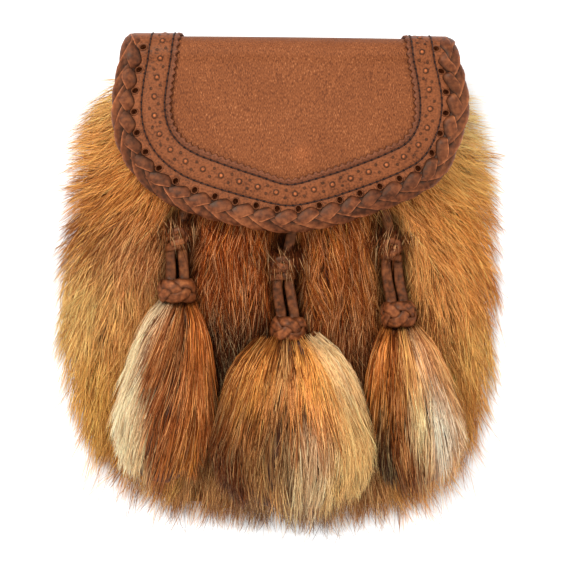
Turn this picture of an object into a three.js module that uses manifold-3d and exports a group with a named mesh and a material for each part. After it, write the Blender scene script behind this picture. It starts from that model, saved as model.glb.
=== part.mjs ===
// A sporran: a leather pouch with a long-haired fur front, a laced leather flap and three fur tassels.
// It lies on its back. Millimetres: X to the right, Y towards the top edge, Z out of the front.
// The floor is z = 0, and X and Y are zero at the middle of the whole outline.
import * as THREE from 'three';
import { mergeVertices } from 'three/addons/utils/BufferGeometryUtils.js';
import Module from 'manifold-3d';

const gap = 0.3; // left between pieces that touch

// ---------------------------------------------------------------- driving dimensions

const leather = {
  thick: 2.4, // back panel and flap, one piece
  centreX: 4.8,
  frontZ: 40, // outer face of the flap
  topY: 109.8, // outer face of the fold
  bend: 9, // outer radius where the fold turns to the front and to the back
  crown: 3, // how much lower the flap's sides are than its middle
  halfWidth: 80,
  droop: 1, // how much lower the flap's bottom edge is than its top
};
const foldY = leather.topY - leather.bend; // where the flat front ends and the fold begins
const foldLength = Math.PI * leather.bend + leather.frontZ - 2 * leather.bend;

// The flap's border, from behind the fold at the left, down, along the bottom and up to the right.
// x and v are on the lacing's outer edge, inX and inV on the pinked inner edge of the border.
// v is the height on the unrolled leather: it equals y below the fold and runs on over it.
const borderStations = [
  { x: -74.0, v: 134.0, inX: -48.5, inV: 134.0 },
  { x: -74.6, v: 117.0, inX: -48.8, inV: 117.0 },
  { x: -76.6, v: 101.4, inX: -50.1, inV: 101.4 },
  { x: -79.2, v: 88.0, inX: -51.7, inV: 90.0 },
  { x: -79.9, v: 75.5, inX: -52.7, inV: 79.0 },
  { x: -77.3, v: 60.9, inX: -51.2, inV: 71.0 },
  { x: -69.2, v: 47.5, inX: -46.5, inV: 64.3 },
  { x: -55.0, v: 35.8, inX: -40.5, inV: 60.8 },
  { x: -39.7, v: 29.8, inX: -30.5, inV: 57.0 },
  { x: -17.2, v: 24.7, inX: -12.5, inV: 50.8 },
  { x: 0.0, v: 22.8, inX: 0.0, inV: 47.1 },
  { x: 17.0, v: 25.2, inX: 11.0, inV: 49.8 },
  { x: 33.4, v: 30.3, inX: 25.0, inV: 54.4 },
  { x: 56.9, v: 39.7, inX: 43.5, inV: 62.0 },
  { x: 69.2, v: 48.5, inX: 50.8, inV: 66.0 },
  { x: 76.9, v: 63.7, inX: 55.0, inV: 72.5 },
  { x: 80.7, v: 80.5, inX: 55.5, inV: 81.5 },
  { x: 78.5, v: 94.2, inX: 53.8, inV: 94.0 },
  { x: 76.3, v: 101.4, inX: 52.2, inV: 101.4 },
  { x: 74.2, v: 117.0, inX: 50.8, inV: 117.0 },
  { x: 74.0, v: 134.0, inX: 50.5, inV: 134.0 },
];
const stationAt = { foldLeft: 2, cornerLeft: 6, cornerRight: 14, foldRight: 18 };

const border = { thick: 1.1, edge: 3.6, toothPitch: 4.3, toothDepth: 1.6 };
const lace = {
  steps: 90,
  edge: 3.6, // the leather's own edge, this far inside the lacing's outer edge
  // The lacing's section: a is the distance in from its outer edge, h the height over the leather.
  section: [
    { a: 10.0, h: 1.8 },
    { a: 10.0, h: 2.4 },
    { a: 7.6, h: 3.0 },
    { a: 3.6, h: 3.0 },
    { a: 0.8, h: 1.4 },
    { a: 0.0, h: -0.8 },
    { a: 0.8, h: -2.9 },
    { a: 3.6, h: -4.1 },
    { a: 7.6, h: -4.1 },
    { a: 10.0, h: -3.5 },
    { a: 10.0, h: -2.9 },
    { a: 3.0, h: -2.9 },
    { a: 3.0, h: 1.8 },
  ],
};

// The back panel below the fold, half widths about the leather's centre line.
const panelRows = [
  { y: 98, half: 70.8 },
  { y: 89, half: 71.2 },
  { y: 82, half: 71.6 },
  { y: 79, half: 71.8 },
  { y: 49, half: 73.5 },
  { y: 46, half: 73.7 },
  { y: 39, half: 74.0 },
  { y: 30, half: 74.4 },
  { y: 0, half: 75.0 },
  { y: -30, half: 73.0 },
  { y: -50, half: 68.0 },
  { y: -65, half: 59.0 },
  { y: -75, half: 47.0 },
  { y: -81, half: 32.0 },
];
const sheetColumns = [-1, -0.9, -0.76, -0.68, -0.6, -0.4, -0.2, 0, 0.2, 0.4, 0.6, 0.68, 0.76, 0.9, 1];

// The strap keeper on the back, flush with the floor. The back panel bows in over it.
const keeper = { y: 64, halfX: 30, halfY: 24, thick: 2.2, strapGap: 5 };
const bow = { tunnelX: [42, 50], tunnelY: [15, 18], seatX: [48, 56], seatY: [25, 34] }; // full to none

// The fur front, a row for each section across the pouch. front is its height at its middle.
const furRows = [
  { y: 102.0, left: -63, right: 74, front: 27 },
  { y: 96.0, left: -69, right: 80, front: 29 },
  { y: 88.0, left: -79, right: 86, front: 30.5 },
  { y: 77.0, left: -90, right: 92, front: 31.5 },
  { y: 60.0, left: -95, right: 97, front: 32 },
  { y: 37.0, left: -98, right: 99.5, front: 32 },
  { y: 14.0, left: -100, right: 101, front: 31.5 },
  { y: -8.0, left: -101, right: 101, front: 30 },
  { y: -31.0, left: -100.5, right: 100.5, front: 27 },
  { y: -53.0, left: -97, right: 98, front: 24 },
  { y: -71.0, left: -88, right: 91, front: 21 },
  { y: -89.0, left: -73, right: 78, front: 17 },
  { y: -100.0, left: -54, right: 63, front: 13.5 },
  { y: -108.0, left: -28, right: 43, front: 9 },
  { y: -112.8, left: -8, right: 24, front: 4 },
];
const furShape = { across: 44, sidePower: 4, smallest: 0.02 };
// Where the hair parts along each tassel's thong.
const partings = [
  { x: -46, depth: 9 },
  { x: 4, depth: 9 },
  { x: 54, depth: 9 },
];
const parting = { width: 11, fromY: 78, toY: -64 };
const pocket = { left: -56, right: 66, bottomY: -40, topY: 120, bottomZ: 12, topZ: 20, corner: 22 };

const tassels = [
  { side: 'left', neck: [-45, -11.2], tip: [-54, -95], width: 47, thick: 19 },
  { side: 'centre', neck: [5.2, -28.2], tip: [9, -108], width: 72, thick: 23 },
  { side: 'right', neck: [56.5, -21.4], tip: [69, -95], width: 43, thick: 19 },
];
// A tassel's outline from its neck (0) to its tip (1), as shares of its width and its thickness.
const tasselProfile = [
  { along: 0, wide: 0.22, deep: 0.5 },
  { along: 0.06, wide: 0.36, deep: 0.66 },
  { along: 0.18, wide: 0.58, deep: 0.85 },
  { along: 0.38, wide: 0.8, deep: 1 },
  { along: 0.62, wide: 1, deep: 0.95 },
  { along: 0.8, wide: 0.92, deep: 0.75 },
  { along: 0.93, wide: 0.62, deep: 0.5 },
  { along: 1, wide: 0.28, deep: 0.25 },
];
// The plaited knot at each tassel's neck and the hitch that its thong is tied with.
const knots = [
  { side: 'left', x: -45.6, y: -4.5, radius: 8.6, length: 11, turn: 0.03 },
  { side: 'centre', x: 5.4, y: -21.4, radius: 8.2, length: 11.5, turn: -0.03 },
  { side: 'right', x: 55.6, y: -14, radius: 8.5, length: 12, turn: 0.06 },
];
const hitches = [
  { side: 'left', x: -46.2, y: 18.6, wide: 11, tall: 9, thick: 8 },
  { side: 'centre', x: 2.4, y: 5.6, wide: 11.5, tall: 9, thick: 8 },
  { side: 'right', x: 52.2, y: 14.6, wide: 10.5, tall: 9, thick: 8 },
];
// Each thong leaves the pouch under the flap, is tied in its hitch, and goes on as two runs.
const thongWidth = 4.4;
const thongs = [
  { name: 'thong_left_top', points: [[-38, 44, 31.4], [-40.5, 37, 29.7], [-43, 30, 27.8], [-45, 24, 26.5]] },
  { name: 'thong_left_a', points: [[-48.9, 13.3, 26.6], [-49, 8, 26.3], [-48.8, 2, 26.3]] },
  { name: 'thong_left_b', points: [[-43.6, 13.3, 27.1], [-43, 8, 27.1], [-42.6, 2, 27.1]] },
  { name: 'thong_centre_top', points: [[9, 40, 29.9], [7.6, 30, 29], [6, 20, 27.9], [3.6, 11, 26.9]] },
  { name: 'thong_centre_a', points: [[0.2, 0.3, 27.9], [0.6, -7, 27.2], [2, -14.7, 25.6]] },
  { name: 'thong_centre_b', points: [[5.4, 0.3, 26.7], [6.6, -7, 26.7], [8, -14.7, 26.6]] },
  { name: 'thong_right_top', points: [[47.5, 43, 29.9], [48.6, 36, 29.1], [50.2, 28, 27.8], [51.6, 20, 26.7]] },
  { name: 'thong_right_a', points: [[49.8, 9.3, 27.5], [50.6, 1, 26.4], [52.4, -7, 25]] },
  { name: 'thong_right_b', points: [[55.2, 9.3, 25.2], [56.2, 1, 24.8], [58, -7, 25.1]] },
];

const stud = { x: 10.6, y: 56.4, capRadius: 6.5, postRadius: 3.2, capThick: 1.2 };

// ---------------------------------------------------------------- shapes

const mix = THREE.MathUtils.lerp;

function share(value, from, to) {
  return THREE.MathUtils.clamp((value - from) / (to - from), 0, 1);
}

// A row's values at any height between a table's first and last row.
function rowAt(rows, key, at) {
  const last = rows.length - 1;
  const sign = Math.sign(rows[last][key] - rows[0][key]);
  let i = 0;
  while (i < last - 1 && sign * (at - rows[i + 1][key]) > 0) i++;
  const t = share(at, rows[i][key], rows[i + 1][key]);
  const values = {};
  for (const name of Object.keys(rows[i])) values[name] = mix(rows[i][name], rows[i + 1][name], t);
  return values;
}

function geometryOf(positions, indices) {
  const geometry = new THREE.BufferGeometry();
  geometry.setAttribute('position', new THREE.Float32BufferAttribute(positions, 3));
  geometry.setIndex(indices);
  return mergeVertices(geometry, 1e-4);
}

function pushQuad(indices, a, b, c, d) {
  indices.push(a, b, c, a, c, d);
}

// A solid through rings of points. Each ring has the same number of points, and goes round
// anticlockwise as seen from the last ring looking back at the first.
function loft(rings) {
  const count = rings[0].length;
  const positions = rings.flat().flatMap((p) => p.toArray());
  const indices = [];
  for (let i = 0; i + 1 < rings.length; i++) {
    for (let j = 0; j < count; j++) {
      const k = (j + 1) % count;
      pushQuad(indices, i * count + j, i * count + k, (i + 1) * count + k, (i + 1) * count + j);
    }
  }
  const lastStart = (rings.length - 1) * count;
  for (const [a, b, c] of capFaces(rings[0])) indices.push(a, c, b);
  for (const [a, b, c] of capFaces(rings[rings.length - 1])) {
    indices.push(lastStart + a, lastStart + b, lastStart + c);
  }
  return geometryOf(positions, indices);
}

// The triangles that close a flat ring, wound the same way as the ring.
function capFaces(ring) {
  const middle = ring.reduce((sum, p) => sum.add(p), new THREE.Vector3()).divideScalar(ring.length);
  const normal = new THREE.Vector3();
  for (let i = 0; i < ring.length; i++) {
    const a = ring[i].clone().sub(middle);
    const b = ring[(i + 1) % ring.length].clone().sub(middle);
    normal.add(a.cross(b));
  }
  normal.normalize();
  const across = ring[1].clone().sub(ring[0]).normalize();
  const up = normal.clone().cross(across);
  const flat = ring.map((p) => new THREE.Vector2(p.dot(across), p.dot(up)));
  return THREE.ShapeUtils.triangulateShape(flat, []);
}

// A sheet between two grids of points, rows by columns, the outer one seen from outside with
// its rows going up and its columns going right.
function sheet(outer, inner) {
  const rows = outer.length;
  const columns = outer[0].length;
  const positions = [...outer.flat(), ...inner.flat()].flatMap((p) => p.toArray());
  const under = rows * columns;
  const indices = [];
  for (let i = 0; i + 1 < rows; i++) {
    for (let j = 0; j + 1 < columns; j++) {
      const a = i * columns + j;
      const c = a + columns;
      pushQuad(indices, a, a + 1, c + 1, c);
      pushQuad(indices, under + a, under + c, under + c + 1, under + a + 1);
    }
  }
  for (let j = 0; j + 1 < columns; j++) {
    const top = (rows - 1) * columns + j;
    pushQuad(indices, j, under + j, under + j + 1, j + 1);
    pushQuad(indices, top, top + 1, under + top + 1, under + top);
  }
  for (let i = 0; i + 1 < rows; i++) {
    const left = i * columns;
    const right = left + columns - 1;
    pushQuad(indices, left, left + columns, under + left + columns, under + left);
    pushQuad(indices, right, under + right, under + right + columns, right + columns);
  }
  return geometryOf(positions, indices);
}

const wasm = await Module();
wasm.setup();

function toSolid(geometry) {
  const bare = geometry.clone();
  bare.deleteAttribute('normal');
  bare.deleteAttribute('uv');
  const merged = mergeVertices(bare, 1e-4);
  const vertProperties = new Float32Array(merged.attributes.position.array);
  const triVerts = new Uint32Array(merged.index.array);
  return new wasm.Manifold(new wasm.Mesh({ numProp: 3, vertProperties, triVerts }));
}

function toGeometry(solid) {
  const mesh = solid.getMesh();
  const geometry = new THREE.BufferGeometry();
  geometry.setAttribute('position', new THREE.BufferAttribute(new Float32Array(mesh.vertProperties), 3));
  geometry.setIndex(new THREE.BufferAttribute(new Uint32Array(mesh.triVerts), 1));
  return geometry;
}

// ---------------------------------------------------------------- the leather surface

// How far the back panel bows in over the strap keeper.
function backBow(x, y) {
  const dx = Math.abs(x);
  const dy = Math.abs(y - keeper.y);
  const pad = keeper.thick + gap;
  const seat = (1 - share(dx, ...bow.seatX)) * (1 - share(dy, ...bow.seatY));
  const tunnel = (1 - share(dx, ...bow.tunnelX)) * (1 - share(dy, ...bow.tunnelY));
  return pad * seat + (keeper.strapGap - gap) * tunnel;
}

// A point of the leather: x from its centre line, v along the unrolled piece, h outward from it.
function onLeather(x, v, h) {
  const r = leather.bend;
  const quarter = (Math.PI / 2) * r;
  const wall = leather.frontZ - 2 * r;
  const past = v - foldY;
  let y;
  let z;
  if (past <= 0) {
    y = v;
    z = leather.frontZ + h;
  } else if (past < quarter) {
    y = foldY + (r + h) * Math.sin(past / r);
    z = leather.frontZ - r + (r + h) * Math.cos(past / r);
  } else if (past < quarter + wall) {
    y = leather.topY + h;
    z = leather.frontZ - r - (past - quarter);
  } else if (past < foldLength) {
    const turn = (past - quarter - wall) / r;
    y = foldY + (r + h) * Math.cos(turn);
    z = r - (r + h) * Math.sin(turn);
  } else {
    y = foldY - (past - foldLength);
    z = backBow(x, y) - h;
  }
  const front = share(z, 0, leather.frontZ);
  z -= front * leather.crown * (x / leather.halfWidth) ** 2;
  z -= front * leather.droop * share(v, foldY, borderStations[10].v);
  return new THREE.Vector3(leather.centreX + x, y, z);
}

const outerLine = new THREE.CatmullRomCurve3(
  borderStations.map((s) => new THREE.Vector3(s.x, s.v, 0)), false, 'centripetal');
const innerLine = new THREE.CatmullRomCurve3(
  borderStations.map((s) => new THREE.Vector3(s.inX, s.inV, 0)), false, 'centripetal');
innerLine.arcLengthDivisions = 600;

// A point of the border on the unrolled leather: t from 0 to 1 along it, a in from its outer edge.
function onBorder(t, a) {
  const outer = outerLine.getPoint(t);
  const inward = innerLine.getPoint(t).sub(outer).normalize();
  return outer.addScaledVector(inward, a);
}

function borderWidth(t) {
  return outerLine.getPoint(t).distanceTo(innerLine.getPoint(t));
}

function stationT(index) {
  return index / (borderStations.length - 1);
}

// ---------------------------------------------------------------- the leather pieces

// The flap's part of the sheet is blended between its four edges, bottom, top, left and right.
function flapPoint(u, w) {
  const edge = (from, to, t) => onBorder(mix(stationT(from), stationT(to), t), lace.edge);
  const { foldLeft, cornerLeft, cornerRight, foldRight } = stationAt;
  const bottom = edge(cornerLeft, cornerRight, u);
  const top = edge(foldLeft, foldLeft, 0).lerp(edge(foldRight, foldRight, 0), u);
  const left = edge(cornerLeft, foldLeft, w);
  const right = edge(cornerRight, foldRight, w);
  const corners = edge(cornerLeft, cornerLeft, 0).lerp(edge(cornerRight, cornerRight, 0), u).lerp(top, w);
  return bottom.lerp(top, w).add(left.lerp(right, u)).sub(corners);
}

function backAndFlap() {
  const flat = [];
  const across = sheetColumns.map((c) => (c + 1) / 2);
  for (const w of [0, 0.12, 0.25, 0.4, 0.55, 0.7, 0.85, 1]) flat.push(across.map((u) => flapPoint(u, w)));
  const turn = (Math.PI / 2) * leather.bend;
  const turned = [0.25, 0.5, 0.75, 1].map((part) => part * turn);
  const foldSteps = [...turned, foldLength - turn, ...turned.map((past) => foldLength - turn + past)];
  for (const past of foldSteps) {
    const half = mix(72.8, panelRows[0].half, share(past, 0, turn));
    flat.push(sheetColumns.map((c) => new THREE.Vector3(c * half, foldY + past, 0)));
  }
  for (const row of panelRows) {
    const v = foldY + foldLength + (foldY - row.y);
    flat.push(sheetColumns.map((c) => new THREE.Vector3(c * row.half, v, 0)));
  }
  const outer = flat.map((row) => row.map((p) => onLeather(p.x, p.y, 0)));
  const inner = flat.map((row) => row.map((p) => onLeather(p.x, p.y, -leather.thick)));
  return sheet(outer, inner);
}

// The border is sewn on over the flap. Its inner edge is cut in a zigzag by pinking shears.
function flapBorder() {
  const teeth = Math.round(innerLine.getLength() / border.toothPitch);
  const low = gap;
  const high = gap + border.thick;
  const rings = [];
  for (let i = 0; i <= 2 * teeth; i++) {
    const t = innerLine.getUtoTmapping(i / (2 * teeth));
    const edge = onBorder(t, border.edge);
    const tooth = onBorder(t, borderWidth(t) - (i % 2) * border.toothDepth);
    rings.push([
      onLeather(tooth.x, tooth.y, low),
      onLeather(tooth.x, tooth.y, high),
      onLeather(edge.x, edge.y, high),
      onLeather(edge.x, edge.y, low),
    ]);
  }
  return loft(rings);
}

// The plaited lacing as one rim that grips the flap's edge.
function flapLace() {
  const rings = [];
  for (let i = 0; i <= lace.steps; i++) {
    const t = outerLine.getUtoTmapping(i / lace.steps);
    rings.push(lace.section.map(({ a, h }) => {
      const p = onBorder(t, a);
      return onLeather(p.x, p.y, h);
    }));
  }
  return loft(rings);
}

function beltLoop() {
  const strip = new THREE.BoxGeometry(2 * keeper.halfX, 2 * keeper.halfY, keeper.thick);
  return strip.translate(leather.centreX, keeper.y, keeper.thick / 2);
}

// A press stud between the flap and the pouch, on a post that stands in the fur.
function flapStud() {
  const foot = restOn(stud.x, stud.y, stud.capRadius, () => 0) + 2 * gap;
  const top = onLeather(stud.x - leather.centreX, stud.y, -leather.thick).z - 2 * gap;
  const profile = [
    [0, foot],
    [stud.capRadius, foot],
    [stud.capRadius, foot + stud.capThick],
    [stud.postRadius, foot + stud.capThick],
    [stud.postRadius, top - stud.capThick],
    [stud.capRadius, top - stud.capThick],
    [stud.capRadius, top],
    [0, top],
  ];
  const turned = new THREE.LatheGeometry(profile.map(([r, z]) => new THREE.Vector2(r, z)), 16);
  return turned.rotateX(Math.PI / 2).translate(stud.x, stud.y, 0);
}

// ---------------------------------------------------------------- the fur front

function partingDepth(x, y) {
  const fade = share(y, parting.fromY, parting.fromY - 30) * share(y, parting.toY, parting.toY + 30);
  return partings.reduce((most, p) => {
    const off = (x - p.x) / parting.width;
    return Math.max(most, p.depth * fade * Math.exp(-off * off));
  }, 0);
}

// The height of the hair's outer form over the floor.
function furHeight(x, y) {
  const { left, right, front } = rowAt(furRows, 'y', y);
  const across = THREE.MathUtils.clamp((2 * x - left - right) / (right - left), -1, 1);
  const dome = Math.sqrt(1 - Math.abs(across) ** furShape.sidePower);
  return front * dome - partingDepth(x, y) * dome;
}

function furForm() {
  const shares = [-0.99];
  for (let j = 1; j < furShape.across; j++) shares.push((2 * j) / furShape.across - 1);
  shares.push(0.99);
  const rings = furRows.map(({ y, left, right }) => {
    const xs = [-1, ...shares, 1].map((c) => (left + right) / 2 + (c * (right - left)) / 2);
    return xs.map((x) => new THREE.Vector3(x, y, furHeight(x, y)));
  });
  return loft(rings.reverse());
}

// The space that the back panel takes out of the fur's underside.
function panelSpace() {
  const clear = 1;
  const top = { y: furRows[0].y + 10, half: panelRows[0].half };
  const rows = [top, ...panelRows];
  const side = (sign) => rows.map(({ y, half }) => [leather.centreX + sign * (half + clear), y - clear]);
  const outline = [...side(-1), ...side(1).reverse()].map(([x, y]) => new THREE.Vector2(x, y));
  const slab = new THREE.ExtrudeGeometry(new THREE.Shape(outline), {
    depth: leather.thick + gap + 5, bevelEnabled: false,
  });
  return slab.translate(0, 0, -5);
}

// The pocket, a wedge that is open at the top and closed behind by the back panel.
function pocketSpace() {
  const { left, right, bottomY, topY, bottomZ, topZ, corner } = pocket;
  const side = [[bottomY, -5], [topY, -5], [topY, topZ], [bottomY, bottomZ]];
  const wedge = new THREE.ExtrudeGeometry(new THREE.Shape(side.map(([y, z]) => new THREE.Vector2(y, z))), {
    depth: right - left, bevelEnabled: false,
  });
  wedge.applyMatrix4(new THREE.Matrix4().set(0, 0, 1, left, 1, 0, 0, 0, 0, 1, 0, 0, 0, 0, 0, 1));
  const outline = new THREE.Shape();
  outline.moveTo(left, topY + 5);
  outline.lineTo(left, bottomY + corner);
  outline.absarc(left + corner, bottomY + corner, corner, Math.PI, 1.5 * Math.PI, false);
  outline.absarc(right - corner, bottomY + corner, corner, 1.5 * Math.PI, 2 * Math.PI, false);
  outline.lineTo(right, topY + 5);
  const slab = new THREE.ExtrudeGeometry(outline, { depth: topZ + 10, bevelEnabled: false, curveSegments: 6 });
  slab.translate(0, 0, -6);
  return toSolid(wedge).intersect(toSolid(slab));
}

function furPouch() {
  const body = toSolid(furForm()).subtract(toSolid(panelSpace())).subtract(pocketSpace());
  return toGeometry(body.simplify(furShape.smallest));
}

// ---------------------------------------------------------------- tassels, knots and thongs

// How high the lowest line of a round section must lie to rest on the fur: reach is its half
// width, rise(d) how much higher its underside is at a distance d from its middle.
function restOn(x, y, reach, rise) {
  let lift = 0;
  for (let k = -6; k <= 6; k++) {
    const d = (reach * k) / 6;
    lift = Math.max(lift, furHeight(x + d, y) - rise(Math.abs(d)));
  }
  return lift;
}

function tassel({ neck, tip, width, thick }) {
  const sides = 18;
  const clear = 1;
  const slope = (tip[0] - neck[0]) / (neck[1] - tip[1]);
  const rings = tasselProfile.map(({ along, wide, deep }) => {
    const x = mix(neck[0], tip[0], along);
    const y = mix(neck[1], tip[1], along);
    const half = (wide * width) / 2;
    const deepHalf = (deep * thick) / 2;
    const rise = (d) => deepHalf * (1 - Math.sqrt(Math.max(0, 1 - (d / half) ** 2)));
    const middle = restOn(x, y, half, rise) + clear + deepHalf;
    return Array.from({ length: sides }, (_, j) => {
      const angle = (2 * Math.PI * j) / sides;
      const out = half * Math.cos(angle);
      return new THREE.Vector3(x + out, y + out * slope, middle + deepHalf * Math.sin(angle));
    });
  });
  return loft(rings);
}

// A round plaited knot, its axis lying along the thong.
function knot({ x, y, radius, length, turn }) {
  const half = length / 2;
  const profile = [[0, -half], [0.62, -half], [0.92, -0.6 * half], [1, 0], [0.92, 0.6 * half], [0.62, half], [0, half]];
  const barrel = new THREE.LatheGeometry(profile.map(([r, along]) => new THREE.Vector2(r * radius, along)), 16);
  const flat = 0.85;
  const rise = (d) => flat * (radius - Math.sqrt(Math.max(0, radius * radius - d * d)));
  const lift = Math.max(...[-half, 0, half].map((dy) => restOn(x, y + dy, radius, rise)));
  return barrel.scale(1, 1, flat).rotateZ(turn).translate(x, y, lift + 2 * gap + flat * radius);
}

function hitch({ x, y, wide, tall, thick }) {
  const ball = new THREE.SphereGeometry(0.5, 14, 10).scale(wide, tall, thick);
  const rise = (d) => (thick / 2) * (1 - Math.sqrt(Math.max(0, 1 - (2 * d / wide) ** 2)));
  return ball.translate(x, y, restOn(x, y, wide / 2, rise) + 2 * gap + thick / 2);
}

function thong({ points }) {
  const route = new THREE.CatmullRomCurve3(points.map((p) => new THREE.Vector3(...p)));
  const round = new THREE.Shape().absarc(0, 0, thongWidth / 2, 0, 2 * Math.PI, false);
  const steps = Math.max(3, Math.round(route.getLength() / (2 * thongWidth)));
  return new THREE.ExtrudeGeometry(round, { extrudePath: route, steps, curveSegments: 4, bevelEnabled: false });
}

// ---------------------------------------------------------------- the assembly

function material(color, roughness, metalness = 0) {
  return new THREE.MeshStandardMaterial({ color, roughness, metalness });
}

const materials = {
  leather: material(0x96583a, 0.55),
  border: material(0xa5613e, 0.55),
  lace: material(0x7d4a38, 0.6),
  thong: material(0x7a4630, 0.65),
  fur: material(0xb46a30, 0.9),
  tassel: material(0xb87a42, 0.9),
  stud: material(0xb08d4c, 0.35, 1),
};

const group = new THREE.Group();

function add(name, geometry, finish) {
  const mesh = new THREE.Mesh(geometry, finish);
  mesh.name = name;
  group.add(mesh);
}

add('back_and_flap', backAndFlap(), materials.leather);
add('flap_border', flapBorder(), materials.border);
add('flap_lace', flapLace(), materials.lace);
add('flap_stud', flapStud(), materials.stud);
add('belt_loop', beltLoop(), materials.leather);
add('fur_pouch', furPouch(), materials.fur);
for (const row of tassels) add(`tassel_${row.side}`, tassel(row), materials.tassel);
for (const row of knots) add(`knot_${row.side}`, knot(row), materials.thong);
for (const row of hitches) add(`hitch_${row.side}`, hitch(row), materials.thong);
for (const row of thongs) add(row.name, thong(row), materials.thong);

export default group;
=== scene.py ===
import math

import bpy
import numpy as np
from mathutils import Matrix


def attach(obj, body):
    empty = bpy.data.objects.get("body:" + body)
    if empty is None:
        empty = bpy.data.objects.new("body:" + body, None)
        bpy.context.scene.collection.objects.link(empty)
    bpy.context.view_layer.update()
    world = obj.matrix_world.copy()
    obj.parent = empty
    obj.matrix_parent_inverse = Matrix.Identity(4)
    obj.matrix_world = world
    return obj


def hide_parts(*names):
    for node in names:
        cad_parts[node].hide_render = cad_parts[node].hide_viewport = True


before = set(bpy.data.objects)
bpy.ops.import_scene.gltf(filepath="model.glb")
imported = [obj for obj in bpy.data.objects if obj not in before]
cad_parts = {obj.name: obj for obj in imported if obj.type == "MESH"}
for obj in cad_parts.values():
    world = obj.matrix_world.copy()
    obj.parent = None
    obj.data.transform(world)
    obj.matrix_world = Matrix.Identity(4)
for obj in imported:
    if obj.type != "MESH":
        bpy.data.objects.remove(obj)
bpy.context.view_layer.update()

# Metres. X runs to the right, Y to the pouch's top edge and Z out of its front; it lies on its back.
# Tables of sizes are written in millimetres and turned into metres with mm.
mm = 0.001


def deselectAll():
    bpy.ops.object.select_all(action="DESELECT")


def linear(red, green, blue):
    # a colour given as it looks on a screen, 0 to 255, as the shader wants it
    return tuple(c / 255 / 12.92 if c <= 10 else ((c / 255 + 0.055) / 1.055) ** 2.4
                 for c in (red, green, blue))


def linearRows(rows):
    return np.array([linear(*row) for row in rows])


def columns(rows, *names):
    return [np.array([row[name] for row in rows], float) for name in names]


def share(value, start, end):
    return np.clip((value - start) / (end - start), 0, 1)


def unit(vectors):
    return vectors / np.maximum(np.linalg.norm(vectors, axis=-1, keepdims=True), 1e-12)


def softNoise(x, y, scale, seed):
    # a smooth field between about -1 and 1
    waves = np.random.default_rng(seed)
    total = 0
    for k in range(6):
        turn = waves.uniform(0, math.tau)
        pace = waves.uniform(0.6, 1.5) / scale
        run = (x * math.cos(turn) + y * math.sin(turn)) * pace
        total = total + np.sin(run * math.tau + waves.uniform(0, math.tau))
    return total / 2.6  # six waves seldom add up to more


def finishPiece(piece, finish, stands=()):
    piece.data.materials.clear()
    piece.data.materials.append(finish)
    piece.data.polygons.foreach_set("use_smooth", [True] * len(piece.data.polygons))
    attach(piece, "root")
    if stands:
        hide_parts(*stands)
    return piece


def linkPiece(name, mesh):
    piece = bpy.data.objects.new(name, mesh)
    bpy.context.scene.collection.objects.link(piece)
    return piece


def meshPiece(name, points, faces, finish, stands=()):
    # a closed mesh from an array of points and a list of faces
    mesh = bpy.data.meshes.new(name)
    mesh.from_pydata(np.asarray(points).tolist(), [], faces)
    mesh.update()
    return finishPiece(linkPiece(name, mesh), finish, stands)


def applyModifier(piece, kind, **settings):
    bpy.context.view_layer.objects.active = piece
    modifier = piece.modifiers.new(kind.lower(), kind)
    for setting, value in settings.items():
        setattr(modifier, setting, value)
    bpy.ops.object.modifier_apply(modifier=modifier.name)


def tintPoints(mesh, tints, name="leatherTint"):
    # each point's tint: the share of its leather's colour that it keeps, with painted shade or highlight in
    # places, or a hair's colour with painted shade in it
    layer = mesh.color_attributes.new(name, "FLOAT_COLOR", "POINT")
    tints = np.broadcast_to(tints, (len(mesh.vertices), 3))
    layer.data.foreach_set("color", np.hstack([tints, np.ones((len(tints), 1))]).astype(np.float32).ravel())


def joinedPiece(name, shapes, finish, stands=(), tints=None):
    # many small closed shapes, each an array of points and a list of faces, as one mesh
    points, faces, shades, base = [], [], [], 0
    for k, (spots, cells) in enumerate(shapes):
        points.append(spots)
        faces += [[base + i for i in cell] for cell in cells]
        if tints is not None:
            shades.append(np.broadcast_to(tints[k], (len(spots), 3)))
        base += len(spots)
    piece = meshPiece(name, np.vstack(points), faces, finish, stands)
    tintPoints(piece.data, np.vstack(shades) if tints is not None else (1, 1, 1))
    return piece


def sweptFaces(rings, sides):
    # the faces of a closed tube of rings, with flat ends
    faces = []
    for i in range(rings - 1):
        for j in range(sides):
            k = (j + 1) % sides
            faces.append([i * sides + j, i * sides + k, (i + 1) * sides + k, (i + 1) * sides + j])
    faces.append(list(range(sides))[::-1])
    faces.append([(rings - 1) * sides + j for j in range(sides)])
    return faces


def loopFaces(rings, sides):
    # the faces of a tube that runs back into itself
    faces = []
    for i in range(rings):
        a, b = i * sides, ((i + 1) % rings) * sides
        faces += [[a + j, a + (j + 1) % sides, b + (j + 1) % sides, b + j] for j in range(sides)]
    return faces


def sectionTurn(sides, power):
    # the two shares of a flattened round section
    turns = np.arange(sides) / sides * math.tau + math.pi / sides
    return [np.sign(f) * np.abs(f) ** power for f in (np.cos(turns), np.sin(turns))]


def strip(path, normals, widths, thickness, sides=8, power=0.7):
    # a flat thong along a path: its section is a flattened round, widths may change along it
    path, normals = np.asarray(path), np.asarray(normals)
    tangents = unit(np.gradient(path, axis=0))
    normals = unit(normals - (normals * tangents).sum(1, keepdims=True) * tangents)
    across = np.cross(tangents, normals)
    c, s = sectionTurn(sides, power)
    widths = np.broadcast_to(widths, len(path))
    rings = (path[:, None] + across[:, None] * (c[None] * widths[:, None] / 2)[..., None]
             + normals[:, None] * (s * thickness / 2)[None, :, None])
    return rings.reshape(-1, 3), sweptFaces(len(path), sides)


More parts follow.
